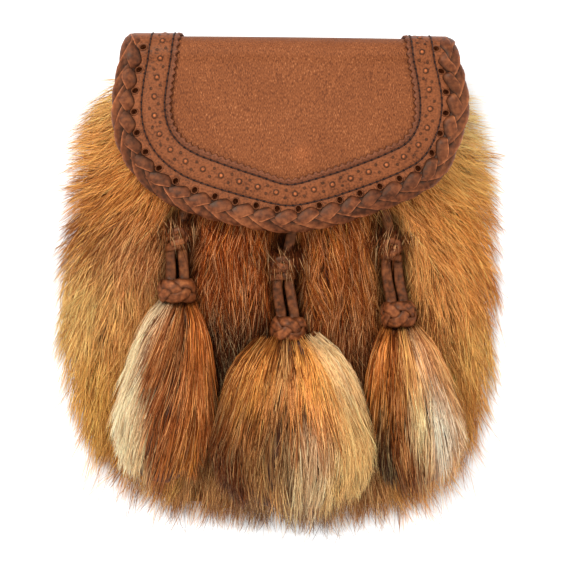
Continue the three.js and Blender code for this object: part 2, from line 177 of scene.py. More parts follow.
def smoothLine(points):
    # a centripetal curve through the points, as a function of t from 0 to 1
    points = np.array(points)
    ends = np.vstack([2 * points[0] - points[1], points, 2 * points[-1] - points[-2]])
    gaps = np.sqrt(np.linalg.norm(np.diff(ends, axis=0), axis=1))

    def at(t):
        place = np.clip(np.asarray(t, float), 0, 1) * (len(points) - 1)
        i = np.minimum(place.astype(int), len(points) - 2)
        w = (place - i)[..., None]
        p0, p1, p2, p3 = (ends[i + k] for k in range(4))
        d0, d1, d2 = (gaps[i + k][..., None] for k in range(3))
        m1 = ((p1 - p0) / d0 - (p2 - p0) / (d0 + d1) + (p2 - p1) / d1) * d1
        m2 = ((p2 - p1) / d1 - (p3 - p1) / (d1 + d2) + (p3 - p2) / d2) * d1
        return p1 + m1 * w + (-3 * p1 + 3 * p2 - 2 * m1 - m2) * w ** 2 + (2 * p1 - 2 * p2 + m1 + m2) * w ** 3
    return at


def runOf(points):
    # how far along its line each point lies
    return np.concatenate([[0], np.cumsum(np.linalg.norm(np.diff(points, axis=0), axis=1))])


# Materials

def newMaterial(name, roughness, **sockets):
    material = bpy.data.materials.new(name)
    material.use_nodes = True
    nodes, links = material.node_tree.nodes, material.node_tree.links
    shader = nodes["Principled BSDF"]
    shader.inputs["Roughness"].default_value = roughness
    for socket, value in sockets.items():
        shader.inputs[socket.replace("_", " ")].default_value = value
    return material, nodes, links, shader


def noiseNode(nodes, links, vector, scale, detail=3):
    noise = nodes.new("ShaderNodeTexNoise")
    noise.inputs["Scale"].default_value = scale
    noise.inputs["Detail"].default_value = detail
    links.new(vector, noise.inputs["Vector"])
    return noise.outputs["Fac"]


def rampNode(nodes, links, value, stops):
    # stops: a place from 0 to 1 and a colour as it looks on a screen
    ramp = nodes.new("ShaderNodeValToRGB")
    elements = ramp.color_ramp.elements
    while len(elements) < len(stops):
        elements.new(0.5)
    for element, (place, colour) in zip(elements, stops):
        element.position = place
        element.color = (*linear(*colour), 1)
    links.new(value, ramp.inputs["Fac"])
    return ramp.outputs["Color"]


def mathNode(nodes, links, kind, first, second, third=0.0):
    node = nodes.new("ShaderNodeMath")
    node.operation = kind
    for socket, value in zip(node.inputs, (first, second, third)):
        if isinstance(value, (int, float)):
            socket.default_value = value
        else:
            links.new(value, socket)
    return node.outputs[0]


def tintNode(nodes, links, colour, attribute="leatherTint"):
    # a colour times the piece's own tint
    tint = nodes.new("ShaderNodeAttribute")
    tint.attribute_name = attribute
    multiply = nodes.new("ShaderNodeMix")
    multiply.data_type = "RGBA"
    multiply.blend_type = "MULTIPLY"
    multiply.inputs["Factor"].default_value = 1
    links.new(colour, multiply.inputs["A"])
    links.new(tint.outputs["Color"], multiply.inputs["B"])
    return multiply.outputs["Result"]


def makeHairMaterial(name):
    # each hair carries its colours from root to tip, its darker root partly painted shade
    material, nodes, links, shader = newMaterial(
        name, 0.5, Specular_IOR_Level=0.14, Specular_Tint=(1, 0.78, 0.5, 1))
    tint = nodes.new("ShaderNodeAttribute")
    tint.attribute_name = "hairTint"
    links.new(tint.outputs["Color"], shader.inputs["Base Color"])
    return material


def makeLeather(name, look):
    # a pebbled grain with pale specks, clouded a little, times the piece's own tint
    material, nodes, links, shader = newMaterial(
        name, 0.5, Specular_IOR_Level=look["gloss"], Specular_Tint=(1, 0.8, 0.6, 1))
    place = nodes.new("ShaderNodeTexCoord").outputs["Object"]
    stretch = nodes.new("ShaderNodeMapping")
    stretch.inputs["Scale"].default_value = (1, look["stretch"], 1)
    links.new(place, stretch.inputs["Vector"])
    grain = noiseNode(nodes, links, stretch.outputs["Vector"], look["grain"], detail=4)
    cloud = noiseNode(nodes, links, place, scale=45, detail=5)
    pebble = nodes.new("ShaderNodeTexVoronoi")
    pebble.inputs["Scale"].default_value = look["pebble"]
    links.new(place, pebble.inputs["Vector"])
    cloudy = mathNode(nodes, links, "MULTIPLY_ADD", cloud, look["cloud"], -0.5 * look["cloud"])
    blend = mathNode(nodes, links, "ADD", grain, cloudy)
    colour = rampNode(nodes, links, blend, look["stops"])
    links.new(tintNode(nodes, links, colour), shader.inputs["Base Color"])
    # rougher where the grain is high, around the leather's own roughness
    rough = mathNode(nodes, links, "MULTIPLY_ADD", grain, 0.5, look["roughness"] - 0.25)
    links.new(rough, shader.inputs["Roughness"])
    relief = nodes.new("ShaderNodeBump")
    relief.inputs["Strength"].default_value = look["strength"]
    relief.inputs["Distance"].default_value = look["depth"]
    height = mathNode(nodes, links, "ADD", pebble.outputs["Distance"], grain)
    links.new(height, relief.inputs["Height"])
    links.new(relief.outputs["Normal"], shader.inputs["Normal"])
    return material


def makeThread():
    # waxed black thread, twisted
    material, nodes, links, shader = newMaterial("waxedThread", 0.55, Specular_IOR_Level=0.15)
    place = nodes.new("ShaderNodeTexCoord").outputs["Object"]
    twist = noiseNode(nodes, links, place, scale=2500)
    colour = rampNode(nodes, links, twist, [(0.3, (30, 16, 12)), (0.7, (58, 34, 26))])
    links.new(tintNode(nodes, links, colour), shader.inputs["Base Color"])
    return material


def makeBrass():
    material, nodes, links, shader = newMaterial("brass", 0.35, Metallic=1.0)
    place = nodes.new("ShaderNodeTexCoord").outputs["Object"]
    tarnish = noiseNode(nodes, links, place, scale=400)
    colour = rampNode(nodes, links, tarnish, [(0.3, (126, 96, 52)), (0.7, (196, 162, 96))])
    links.new(colour, shader.inputs["Base Color"])
    return material


def makeHideSkin():
    # dark skin, mottled: its own colour, darkened as painted shade deep under the hair
    material, nodes, links, shader = newMaterial("hideSkin", 0.9)
    place = nodes.new("ShaderNodeTexCoord").outputs["Object"]
    mottle = noiseNode(nodes, links, place, scale=300)
    colour = rampNode(nodes, links, mottle, [(0.3, (50, 27, 15)), (0.7, (88, 48, 25))])
    links.new(colour, shader.inputs["Base Color"])
    return material


hairMaterial = makeHairMaterial("foxHair")
tasselHairMaterial = makeHairMaterial("tasselHair")
hideSkin = makeHideSkin()
fieldLeather = makeLeather("flapLeather", {
    "stops": [(0.32, (80, 37, 17)), (0.5, (114, 61, 31)), (0.62, (132, 74, 40)), (0.74, (170, 112, 72))],
    "grain": 3000, "stretch": 0.3, "cloud": 0.12, "pebble": 900, "depth": 0.3 * mm, "strength": 0.5,
    "gloss": 0.2, "roughness": 0.6})
bandLeather = makeLeather("bandLeather", {
    "stops": [(0.28, (68, 31, 14)), (0.46, (106, 55, 27)), (0.7, (128, 70, 38))],
    "grain": 1100, "stretch": 1, "cloud": 0.3, "pebble": 700, "depth": 0.2 * mm, "strength": 0.35,
    "gloss": 0.24, "roughness": 0.52})
laceLeather = makeLeather("laceLeather", {
    "stops": [(0.28, (60, 28, 14)), (0.5, (94, 48, 26)), (0.75, (124, 70, 40))],
    "grain": 420, "stretch": 1, "cloud": 0.5, "pebble": 600, "depth": 0.2 * mm, "strength": 0.3,
    "gloss": 0.2, "roughness": 0.48})
thongLeather = makeLeather("thongLeather", {
    "stops": [(0.28, (52, 25, 11)), (0.5, (90, 46, 22)), (0.75, (122, 70, 37))],
    "grain": 420, "stretch": 1, "cloud": 0.5, "pebble": 500, "depth": 0.2 * mm, "strength": 0.35,
    "gloss": 0.22, "roughness": 0.5})
threadFinish = makeThread()


# Camera, lights and floor

view = {"x": 0.0036, "y": -0.0013, "height": 0.7525, "lens": 100, "sensor": 36, "turn": 0.65}


def addCamera():
    bpy.ops.object.camera_add(location=(view["x"], view["y"], view["height"]),
                              rotation=(0, 0, math.radians(view["turn"])))
    camera = bpy.context.object
    camera.data.lens = view["lens"]
    camera.data.sensor_width = view["sensor"]
    camera.data.clip_start = 0.01
    bpy.context.scene.camera = camera


studio = {
    "sky": 0.7,
    "floorSize": 6,
    "floorZ": -0.2 * mm,
    "paper": (0.93, 0.93, 0.93, 1),
    "lamps": [
        # place, size and power of each soft box, all aimed at the pouch
        {"at": (-0.45, 0.65, 1.0), "size": 0.6, "power": 15.5},
        {"at": (0.75, 0.2, 0.9), "size": 0.8, "power": 6},
        {"at": (-0.5, -0.7, 0.9), "size": 0.8, "power": 5},
    ],
}


def addStudio():
    world = bpy.data.worlds.new("studio")
    bpy.context.scene.world = world
    world.use_nodes = True
    world.node_tree.nodes["Background"].inputs["Color"].default_value = (1, 1, 1, 1)
    world.node_tree.nodes["Background"].inputs["Strength"].default_value = studio["sky"]
    for lamp in studio["lamps"]:
        bpy.ops.object.light_add(type="AREA", location=lamp["at"])
        light = bpy.context.object
        light.data.energy = lamp["power"]
        light.data.size = lamp["size"]
        aim = -light.location
        light.rotation_euler = aim.to_track_quat("-Z", "Y").to_euler()
    bpy.context.scene.view_settings.view_transform = "Standard"
    bpy.ops.mesh.primitive_plane_add(size=studio["floorSize"], location=(0, 0, studio["floorZ"]))
    floor = bpy.context.object
    floor.name = "floor"
    paper, nodes, links, shader = newMaterial("whitePaper", 0.9)
    shader.inputs["Base Color"].default_value = studio["paper"]
    floor.data.materials.append(paper)


addCamera()
addStudio()
print("camera and studio are in")


# Thongs: free cords that hang from under the flap to their knots

thongLook = {
    "width": 4.8 * mm, "thick": 2.5 * mm, "sides": 12, "power": 0.85,
    "wholePoints": 48, "secondPoints": 20,
    "swell": 0.05,  # how much the width changes along a thong
    "secondWidth": 0.97, "secondTilt": 0.12, "secondShade": 0.95,
    "into": (0, 0.0025, -0.0004),  # how far the runs go on into their hitch and their knot
    # painted shade on a thong's flanks, then streaks and mottle along it
    "flankShade": 0.3, "streaks": 0.14, "mottle": 0.06,
}
# Each thong's route in metres: out from under the flap, through its hitch and down to its knot
thongRoutes = {
    "left": {
        "top": [(-0.038, 0.044, 0.0314), (-0.0405, 0.037, 0.0297),
                (-0.043, 0.030, 0.0278), (-0.045, 0.024, 0.0265)],
        "a": [(-0.0489, 0.0133, 0.0266), (-0.049, 0.008, 0.0263), (-0.0488, 0.002, 0.0263)],
        "b": [(-0.0436, 0.0133, 0.0271), (-0.043, 0.008, 0.0271), (-0.0426, 0.002, 0.0271)],
    },
    "centre": {
        "top": [(0.009, 0.040, 0.0299), (0.0076, 0.030, 0.029),
                (0.006, 0.020, 0.0279), (0.0036, 0.011, 0.0269)],
        "a": [(0.0002, 0.0003, 0.0279), (0.0006, -0.007, 0.0272), (0.002, -0.0147, 0.0256)],
        "b": [(0.0054, 0.0003, 0.0267), (0.0066, -0.007, 0.0267), (0.008, -0.0147, 0.0266)],
    },
    "right": {
        "top": [(0.0475, 0.043, 0.0299), (0.0486, 0.036, 0.0291),
                (0.0502, 0.028, 0.0278), (0.0516, 0.020, 0.0267)],
        "a": [(0.0498, 0.0093, 0.0275), (0.0506, 0.001, 0.0264), (0.0524, -0.007, 0.025)],
        "b": [(0.0552, 0.0093, 0.0252), (0.0562, 0.001, 0.0248), (0.058, -0.007, 0.0251)],
    },
}


def roundRoute(points, count):
    # a smooth line through a few points
    return smoothLine(points)(np.linspace(0, 1, count))


def thongTint(count, sides, chance, strength=1.0):
    # painted shade on the flanks, and a little change along the thong
    turns = np.arange(sides) / sides * math.tau + math.pi / sides
    flank = 1 - thongLook["flankShade"] * np.abs(np.cos(turns)) ** 4
    phase, waves = chance.uniform(0, 6), chance.uniform(4, 9)
    along = 1 + thongLook["streaks"] * np.sin(np.linspace(0, waves, count) + phase)
    along = along + thongLook["mottle"] * chance.normal(0, 1, count)
    return (along[:, None, None] * flank[None, :, None] * strength * np.ones(3)).reshape(-1, 3)


def makeThongs():
    chance = np.random.default_rng(9)
    wide, thick, sides, power = (thongLook[key] for key in ("width", "thick", "sides", "power"))
    into = np.array(thongLook["into"])
    wholeCount, secondCount = thongLook["wholePoints"], thongLook["secondPoints"]
    for side, route in thongRoutes.items():
        whole = roundRoute([*route["top"], *route["a"], np.array(route["a"][-1]) - into], wholeCount)
        second = [np.array(route["b"][0]) + into, *route["b"], np.array(route["b"][-1]) - into]
        second = roundRoute(second, secondCount)
        facing = np.tile([thongLook["secondTilt"], 0.0, 1.0], (secondCount, 1))
        shape = strip(second, facing, wide * thongLook["secondWidth"], thick, sides, power)
        tint = thongTint(secondCount, sides, chance, thongLook["secondShade"])
        run = joinedPiece(f"thong_{side}_second_run", [shape], thongLeather, [f"thong_{side}_b"],
                          [tint])
        widths = wide * (1 + thongLook["swell"] * np.sin(np.linspace(0, 9, wholeCount)))
        facing = np.tile([0.0, 0.0, 1.0], (wholeCount, 1))
        shape = strip(whole, facing, widths, thick, sides, power)
        tint = thongTint(wholeCount, sides, chance)
        piece = joinedPiece(f"thong_{side}", [shape], thongLeather,
                            [f"thong_{side}_top", f"thong_{side}_a"], [tint])


makeThongs()
print("the thongs hang")


# The leather's surface, which every leather piece lies on

leather = {
    "thick": 2.4 * mm,
    "middle": 4.8 * mm,  # the leather's middle lies this far right of the pouch's
    "halfWidth": 80 * mm,
    "frontZ": 40 * mm,
    "topY": 109.8 * mm,
    "bend": 9 * mm,
    "crown": 3 * mm,  # how far the flap's sides curve down
    "droop": 1 * mm,  # and its lower edge
    "swell": 1.8 * mm,  # how far the fold stands proud
}
foldY = leather["topY"] - leather["bend"]
quarterTurn = math.pi / 2 * leather["bend"]
foldWall = leather["frontZ"] - 2 * leather["bend"]
foldLength = 2 * quarterTurn + foldWall
keeper = {
    "y": 64 * mm, "halfX": 30 * mm, "halfY": 24 * mm, "thick": 2.2 * mm, "corner": 5 * mm,
    "bevel": 0.5 * mm,
    "gap": 5 * mm,  # the strap's way through
    # from where to where the back comes down again beside the keeper and beside the strap
    "seatX": (48 * mm, 56 * mm), "seatY": (25 * mm, 34 * mm),
    "tunnelX": (42 * mm, 50 * mm), "tunnelY": (15 * mm, 18 * mm),
    "seam": 3 * mm,  # from its edge to its sewing
    "channel": 0.75 * mm,
    "seamStitches": 15, "seamShade": 0.3,
}
# The back's half width at each height
panelRows = [(98, 70.8), (89, 71.2), (82, 71.6), (49, 73.5), (39, 74.0), (30, 74.4), (0, 75.0),
             (-30, 73.0), (-50, 68.0), (-65, 59.0), (-75, 47.0), (-81, 32.0)]
panelY, panelHalf = np.array(panelRows)[::-1].T * mm

# The flap's border: x and v of its outer edge and of its pinked inner edge, v being the height on
# the unrolled leather, which runs on over the fold
borderRows = [
    {"x": -74.0, "v": 134.0, "inX": -48.5, "inV": 134.0},
    {"x": -74.6, "v": 117.0, "inX": -48.8, "inV": 117.0},
    {"x": -76.6, "v": 101.4, "inX": -50.1, "inV": 101.4},
    {"x": -79.2, "v": 88.0, "inX": -51.7, "inV": 90.0},
    {"x": -79.9, "v": 75.5, "inX": -52.7, "inV": 79.0},
    {"x": -77.3, "v": 60.9, "inX": -51.2, "inV": 71.0},
    {"x": -69.2, "v": 47.5, "inX": -46.5, "inV": 64.3},
    {"x": -55.0, "v": 35.8, "inX": -40.5, "inV": 60.8},
    {"x": -39.7, "v": 29.8, "inX": -30.5, "inV": 57.0},
    {"x": -17.2, "v": 24.7, "inX": -12.5, "inV": 50.8},
    {"x": 0.0, "v": 22.8, "inX": 0.0, "inV": 47.1},
    {"x": 17.0, "v": 25.2, "inX": 11.0, "inV": 49.8},
    {"x": 33.4, "v": 30.3, "inX": 25.0, "inV": 54.4},
    {"x": 56.9, "v": 39.7, "inX": 43.5, "inV": 62.0},
    {"x": 69.2, "v": 48.5, "inX": 50.8, "inV": 66.0},
    {"x": 76.9, "v": 63.7, "inX": 55.0, "inV": 72.5},
    {"x": 80.7, "v": 80.5, "inX": 55.5, "inV": 81.5},
    {"x": 78.5, "v": 94.2, "inX": 53.8, "inV": 94.0},
    {"x": 76.3, "v": 101.4, "inX": 52.2, "inV": 101.4},
    {"x": 74.2, "v": 117.0, "inX": 50.8, "inV": 117.0},
    {"x": 74.0, "v": 134.0, "inX": 50.5, "inV": 134.0},
]
lastStation = len(borderRows) - 1
flapFrom, cornerFrom, cornerTo, flapTo = (i / lastStation for i in (2, 6, 14, 18))
flapLowV = borderRows[10]["v"] * mm
outerEdge = smoothLine(np.stack(columns(borderRows, "x", "v"), 1) * mm)
innerEdge = smoothLine(np.stack(columns(borderRows, "inX", "inV"), 1) * mm)


def onBorder(t, a):
    # a point of the unrolled leather, a in from the lacing's outer edge
    outer = outerEdge(t)
    return outer + unit(innerEdge(t) - outer) * np.asarray(a, float)[..., None]


def borderWidth(t):
    return np.linalg.norm(outerEdge(t) - innerEdge(t), axis=-1)


def backBow(x, y):
    # how far the back stands off its rest over the strap keeper, x from the leather's middle
    dx, dy = np.abs(x), np.abs(y - keeper["y"])
    seat = (1 - share(dx, *keeper["seatX"])) * (1 - share(dy, *keeper["seatY"]))
    tunnel = (1 - share(dx, *keeper["tunnelX"])) * (1 - share(dy, *keeper["tunnelY"]))
    return (keeper["thick"] + 0.3 * mm) * seat + (keeper["gap"] - 0.3 * mm) * tunnel


def proud(v):
    # the fold's leather swells a little over its bend
    past = v - foldY
    ending = share(past, foldLength - 14 * mm, foldLength - 2 * mm)
    return leather["swell"] * share(past, -2 * mm, 9 * mm) * (1 - ending)


def onLeather(flat, h):
    # from the unrolled leather to its place: flat is x and v, h is outward from the leather
    x, v = flat[..., 0], flat[..., 1]
    h = np.broadcast_to(h, x.shape)
    r = leather["bend"]
    past = v - foldY
    first, second = past / r, (past - quarterTurn - foldWall) / r
    # flap, bend, top wall, bend, and the back after them
    zones = [past <= 0, past < quarterTurn, past < quarterTurn + foldWall, past < foldLength]
    alongY = [v, foldY + (r + h) * np.sin(first), leather["topY"] + h, foldY + (r + h) * np.cos(second)]
    alongZ = [leather["frontZ"] + h, leather["frontZ"] - r + (r + h) * np.cos(first),
              leather["frontZ"] - r - (past - quarterTurn), r - (r + h) * np.sin(second)]
    backY = foldY - (past - foldLength)
    y = np.select(zones, alongY, backY)
    z = np.select(zones, alongZ, backBow(x, backY) - h)
    front = share(z, 0, leather["frontZ"])
    z = z - front * leather["crown"] * (x / leather["halfWidth"]) ** 2
    z = z - front * leather["droop"] * share(v, foldY, flapLowV)
    return np.stack([leather["middle"] + x, y, z], -1)


def gridSheet(name, acrossCount, alongCount, place, tints, thickness, bevel):
    # a grid laid on a surface by place(u, w), then given its thickness inwards
    deselectAll()
    bpy.ops.mesh.primitive_grid_add(x_subdivisions=acrossCount, y_subdivisions=alongCount, size=1)
    piece = bpy.context.object
    piece.name = piece.data.name = name
    spots = np.array([v.co for v in piece.data.vertices]) + 0.5
    piece.data.vertices.foreach_set("co", place(spots[:, 0], spots[:, 1]).astype(np.float32).ravel())
    tintPoints(piece.data, tints(spots[:, 0], spots[:, 1]))
    applyModifier(piece, "SOLIDIFY", thickness=thickness, offset=-1)
    applyModifier(piece, "BEVEL", width=bevel, segments=2, angle_limit=math.radians(50))
    return piece


# Flap, fold and back in one sheet

sheetLook = {
    "flapShare": 0.36, "foldShare": 0.18,  # of the sheet's rows
    "across": 64, "along": 132,
    "edge": 3.6 * mm,  # where the sheet ends under the lacing
    "bevel": 0.4 * mm,
    "foldHalf": 72.8 * mm, "foldTaper": 2 * mm,
    "waviness": 0.2 * mm, "wave": 42 * mm,
    # painted shade along the fold's bend and a painted highlight over the stud
    "foldShade": 0.35, "studHighlight": 0.35,
    "stud": {"x": 10.6 * mm, "y": 56.4 * mm, "radius": 8 * mm, "height": 0.8 * mm},
    "backLift": 0.6 * mm,  # the back's middle stands off the floor by its stitches
}


def flapFlat(u, w):
    # blended between the flap's sides, and bent to its lower edge
    edge = lambda start, end, t: onBorder(start + (end - start) * t, sheetLook["edge"])
    one, across, up = np.ones_like(u), u[:, None], w[:, None]
    lowLine = edge(cornerFrom, cornerFrom, one) * (1 - across) + edge(cornerTo, cornerTo, one) * across
    bottom = edge(cornerFrom, cornerTo, u)
    left, right = edge(cornerFrom, flapFrom, w), edge(cornerTo, flapTo, w)
    return (bottom - lowLine) * (1 - up) + left * (1 - across) + right * across


def placeSheet(u, s):
    flapEnd, foldEnd = sheetLook["flapShare"], sheetLook["flapShare"] + sheetLook["foldShare"]
    flat = flapFlat(u, np.clip(s / flapEnd, 0, 1))
    past = share(s, flapEnd, foldEnd) * foldLength
    down = share(s, foldEnd, 1) * (foldY - panelY[0])
    foldHalf = sheetLook["foldHalf"] - sheetLook["foldTaper"] * share(past, 0, quarterTurn)
    half = np.where(s > foldEnd, np.interp(foldY - down, panelY, panelHalf), foldHalf)
    rest = np.stack([(u * 2 - 1) * half, foldY + past + down], -1)
    flat = np.where((s > flapEnd)[:, None], rest, flat)
    stud = sheetLook["stud"]
    off = np.hypot(flat[:, 0] + leather["middle"] - stud["x"], flat[:, 1] - stud["y"])
    soft = sheetLook["waviness"] * (softNoise(flat[:, 0], flat[:, 1], sheetLook["wave"], 8) - 1)
    bump = stud["height"] * np.exp(-(off / stud["radius"]) ** 4)
    front = np.where(s <= flapEnd + 1e-6, bump + soft, 0)
    back = -sheetLook["backLift"] * share(past, foldLength - 8 * mm, foldLength)
    return onLeather(flat, front + proud(flat[:, 1]) + back)


def tintSheet(u, s):
    # painted shade along the bend of the fold, and a painted highlight over the stud
    flapEnd, stud = sheetLook["flapShare"], sheetLook["stud"]
    flat = flapFlat(u, np.clip(s / flapEnd, 0, 1))
    off = np.hypot(flat[:, 0] + leather["middle"] - stud["x"], flat[:, 1] - stud["y"] - 1.5 * mm)
    shade = 1 - sheetLook["foldShade"] * share(s, flapEnd + 0.022, flapEnd + 0.045)
    shade = shade + sheetLook["studHighlight"] * np.exp(-(off / (3.5 * mm)) ** 2) * (s < flapEnd)
    return np.repeat(shade[:, None], 3, axis=1)


# The border, pinked along its inner edge

border = {
    "low": 0.3 * mm, "thick": 1.1 * mm, "edge": 3.6 * mm, "toothPitch": 3.1 * mm, "toothDepth": 1.3 * mm,
    "stitchLines": (0.48, 0.867), "groove": 0.3 * mm, "rawEdge": 0.35 * mm, "rawHeight": 0.15 * mm,
    "ridge": 0.3 * mm, "ridgeAt": 0.945,
    "plain": 0.9, "toothed": 0.08,  # past plain the rows follow the teeth
    # painted shade in the stitch grooves and a painted highlight along the ridge
    "grooveShade": 0.5, "ridgeHighlight": 0.25,
    "edgeTint": (0.74, 0.8, 1.1), "rawTint": (0.26, 0.22, 0.22),
    "bevel": 0.12 * mm,
    # rows across the band, from its outer to its inner edge; the last is the raw edge at its foot, tinted
    # dark as painted shadow along the teeth
    "rows": (0, 0.2, 0.4, 0.465, 0.48, 0.495, 0.56, 0.68, 0.8, 0.852, 0.867, 0.882, 0.9, 0.925, 0.95,
             0.98, 1),
}
bandRows = np.array(border["rows"])


def evenTimes(line, count):
    # times that cut the line into even lengths, and its whole length
    t = np.linspace(0, 1, 2001)
    run = runOf(line(t))
    return np.interp(np.linspace(0, run[-1], count), run, t), run[-1]


teeth = round(evenTimes(innerEdge, 2)[1] / border["toothPitch"])
bandTimes = evenTimes(innerEdge, 4 * teeth + 1)[0]


def bandPart(w):
    return bandRows[np.rint(w * (len(bandRows) - 1)).astype(int)]


def bandGrooves(part, width):
    return sum(np.exp(-((part - f) / width) ** 2) for f in border["stitchLines"])


def placeBand(u, w):
    column = np.rint(u * 4 * teeth).astype(int)
    t, part = bandTimes[column], bandPart(w)
    wide = borderWidth(t)
    valley = 1 - np.abs((column % 4) / 2 - 1)  # 0 at a tooth's tip, 1 between teeth
    start = border["edge"] / wide
    end = 1 - valley * border["toothDepth"] / wide
    raw = border["rawEdge"] / wide
    plain, firstSeam = border["plain"], border["stitchLines"][0]
    spot = np.where(part > plain, plain + (part - plain) / border["toothed"] * (end - raw - plain), part)
    spot = np.where(part == 1, end, spot)
    spot = np.where(part < firstSeam, start + part / firstSeam * (firstSeam - start), spot)
    ridge = border["ridge"] * np.exp(-((part - border["ridgeAt"]) / 0.03) ** 2)
    h = border["low"] + border["thick"] - border["groove"] * bandGrooves(part, 0.012) + ridge
    h = np.where(part == 1, border["low"] + border["rawHeight"], h)
    flat = onBorder(t, spot * wide)
    return onLeather(flat, h + proud(flat[:, 1]))


def tintBand(u, w):
    part = bandPart(w)
    # painted shade in the stitch grooves
    tint = np.ones((len(u), 3)) * (1 - border["grooveShade"] * bandGrooves(part, 0.014))[:, None]
    # the leather is greyer past the inner seam
    past = (share(part, 0.872, 0.895) * (part < 1))[:, None]
    tint = tint * (1 - past * (1 - np.array(border["edgeTint"])))
    # a painted highlight along the ridge
    highlight = border["ridgeHighlight"] * np.exp(-((part - border["ridgeAt"]) / 0.012) ** 2)
    tint = tint * (1 + highlight)[:, None]
    # the raw edge at the foot is tinted dark: painted shadow along the teeth
    return np.where((part == 1)[:, None], np.array(border["rawTint"]), tint)


# Lacing holes, cut through the border and the flap

laceHoles = {
    "count": 26, "in": 9.9 * mm, "along": 1.3 * mm, "across": 1.5 * mm, "sides": 16,
    "firstV": 104.3 * mm, "lastV": 105 * mm,
    "cutFrom": 3 * mm, "cutTo": -5.5 * mm,
    # the punched rim: how far round the hole and how high, millimetres
    "rim": ((0.5, -0.1), (0.3, 0.14), (0.05, 0.1), (-0.05, -0.3)),
    "rimTint": (0.8, 0.86, 1.0),
}


def holeTimes():
    # the time of each lacing hole, and past them to both ends, on the border's outer edge
    t = np.linspace(0, 1, 3001)
    flat = onBorder(t, laceHoles["in"])
    run = runOf(flat)
    half = len(t) // 2
    first = np.interp(-laceHoles["firstV"], -flat[:half, 1], run[:half])
    last = np.interp(laceHoles["lastV"], flat[half:, 1], run[half:])
    pitch = (last - first) / (laceHoles["count"] - 1)
    before, after = int(first / pitch), int((run[-1] - last) / pitch)
    numbers = np.arange(-before - 1, laceHoles["count"] + after + 1)
    return numbers, np.interp(first + numbers * pitch, run, t), pitch


holeNumbers, holeTime, holePitch = holeTimes()


def holeFrame(number):
    # the middle of a hole and its three directions: along the edge, inwards and out of the leather
    t = np.interp(number, holeNumbers, holeTime)
    step = 0.5 * mm / holePitch
    near = np.interp([number - step, number + step], holeNumbers, holeTime)
    deep = laceHoles["in"]
    flat = onBorder(np.array([t, t, *near]), np.array([deep, deep + 0.5 * mm, deep, deep]))
    middle, inward, behind, ahead = onLeather(flat, border["low"] + border["thick"] + proud(flat[:, 1]))
    along, across = unit(ahead - behind), unit(inward - middle)
    return middle, along, across, unit(np.cross(across, along))


def holeRing(number, grow, h):
    middle, along, across, out = holeFrame(number)
    turns = np.arange(laceHoles["sides"]) / laceHoles["sides"] * math.tau
    return (middle + along * ((laceHoles["along"] + grow) * np.cos(turns))[:, None]
            + across * ((laceHoles["across"] + grow) * np.sin(turns))[:, None] + out * h)


def cutHoles(pieces):
    shapes = []
    for number in range(laceHoles["count"]):
        rings = [holeRing(number, 0, laceHoles[end]) for end in ("cutFrom", "cutTo")]
        shapes.append((np.vstack(rings), sweptFaces(2, laceHoles["sides"])))
    cutter = joinedPiece("hole_cutter", shapes, bandLeather)
    for piece in pieces:
        deselectAll()
        piece.select_set(True)
        applyModifier(piece, "BOOLEAN", object=cutter, solver="EXACT")
    bpy.data.objects.remove(cutter)


def makeSheetAndBand():
    sheet = gridSheet("leather_back_and_flap", sheetLook["across"], sheetLook["along"], placeSheet,
                      tintSheet, leather["thick"], sheetLook["bevel"])
    band = gridSheet("border_band", 4 * teeth, len(bandRows) - 1, placeBand, tintBand, border["thick"],
                     border["bevel"])
    cutHoles([sheet, band])
    finishPiece(sheet, fieldLeather, ["back_and_flap"])
    finishPiece(band, bandLeather, ["flap_border"])
    shapes, rim = [], laceHoles["rim"]
    for number in range(laceHoles["count"]):
        rings = np.stack([holeRing(number, grow * mm, h * mm) for grow, h in rim], 1)
        shapes.append((rings.reshape(-1, 3), loopFaces(laceHoles["sides"], len(rim))))
    tints = [laceHoles["rimTint"]] * len(shapes)
    joinedPiece("lacing_hole_rims", shapes, bandLeather, (), tints)


makeSheetAndBand()
print("the leather sheet and its border are laid")


# Sewing

stitch = {
    "pitch": 3.3 * mm, "width": 0.42 * mm, "knot": 1.15 * mm, "thick": 0.6 * mm,
    "rise": 0.14 * mm, "dip": 0.12 * mm, "bright": 1.5, "endShade": 1.25,
    "backPitch": 4.4 * mm, "backGap": 0.2, "backIn": 4 * mm,
}


def sewnLine(surface, count, gap=0.0):
    # thread along a line: surface(share) gives points on it and outward normals; it dips into a
    # hole at each end of a stitch and is widest there, and darkest there as painted shade
    shapes, tints = [], []
    shape = np.array([-1, -0.82, -0.6, 0, 0.6, 0.82, 1]) * (1 - gap)
    for k in range(count):
        points, normals = surface((k + 0.5 + shape * 0.5) / count)
        dip = np.abs(shape / (1 - gap))[:, None]
        points = points + normals * (stitch["rise"] * (1 - dip ** 2) - stitch["dip"] * dip ** 8)
        ends = share(dip[:, 0], 0.55, 0.85)
        widths = stitch["width"] + (stitch["knot"] - stitch["width"]) * ends
        widths = widths * np.where(dip[:, 0] > 0.95, 0.6, 1)
        shapes.append(strip(points, normals, widths, stitch["thick"], sides=6, power=1))
        # painted shade where the thread sinks into its holes
        shade = stitch["bright"] - stitch["endShade"] * ends
        tints.append(np.repeat(shade[:, None] * np.ones(3), 6, axis=0))
    return shapes, tints


def evenSurface(points, normals):
    # turns points along a line, with their normals, into a function of the share of its length
    run = runOf(points)

    def at(part):
        spot = part * run[-1]
        found = np.stack([np.interp(spot, run, points[:, k]) for k in range(3)], -1)
        return found, unit(np.stack([np.interp(spot, run, normals[:, k]) for k in range(3)], -1))
    return at, run[-1]


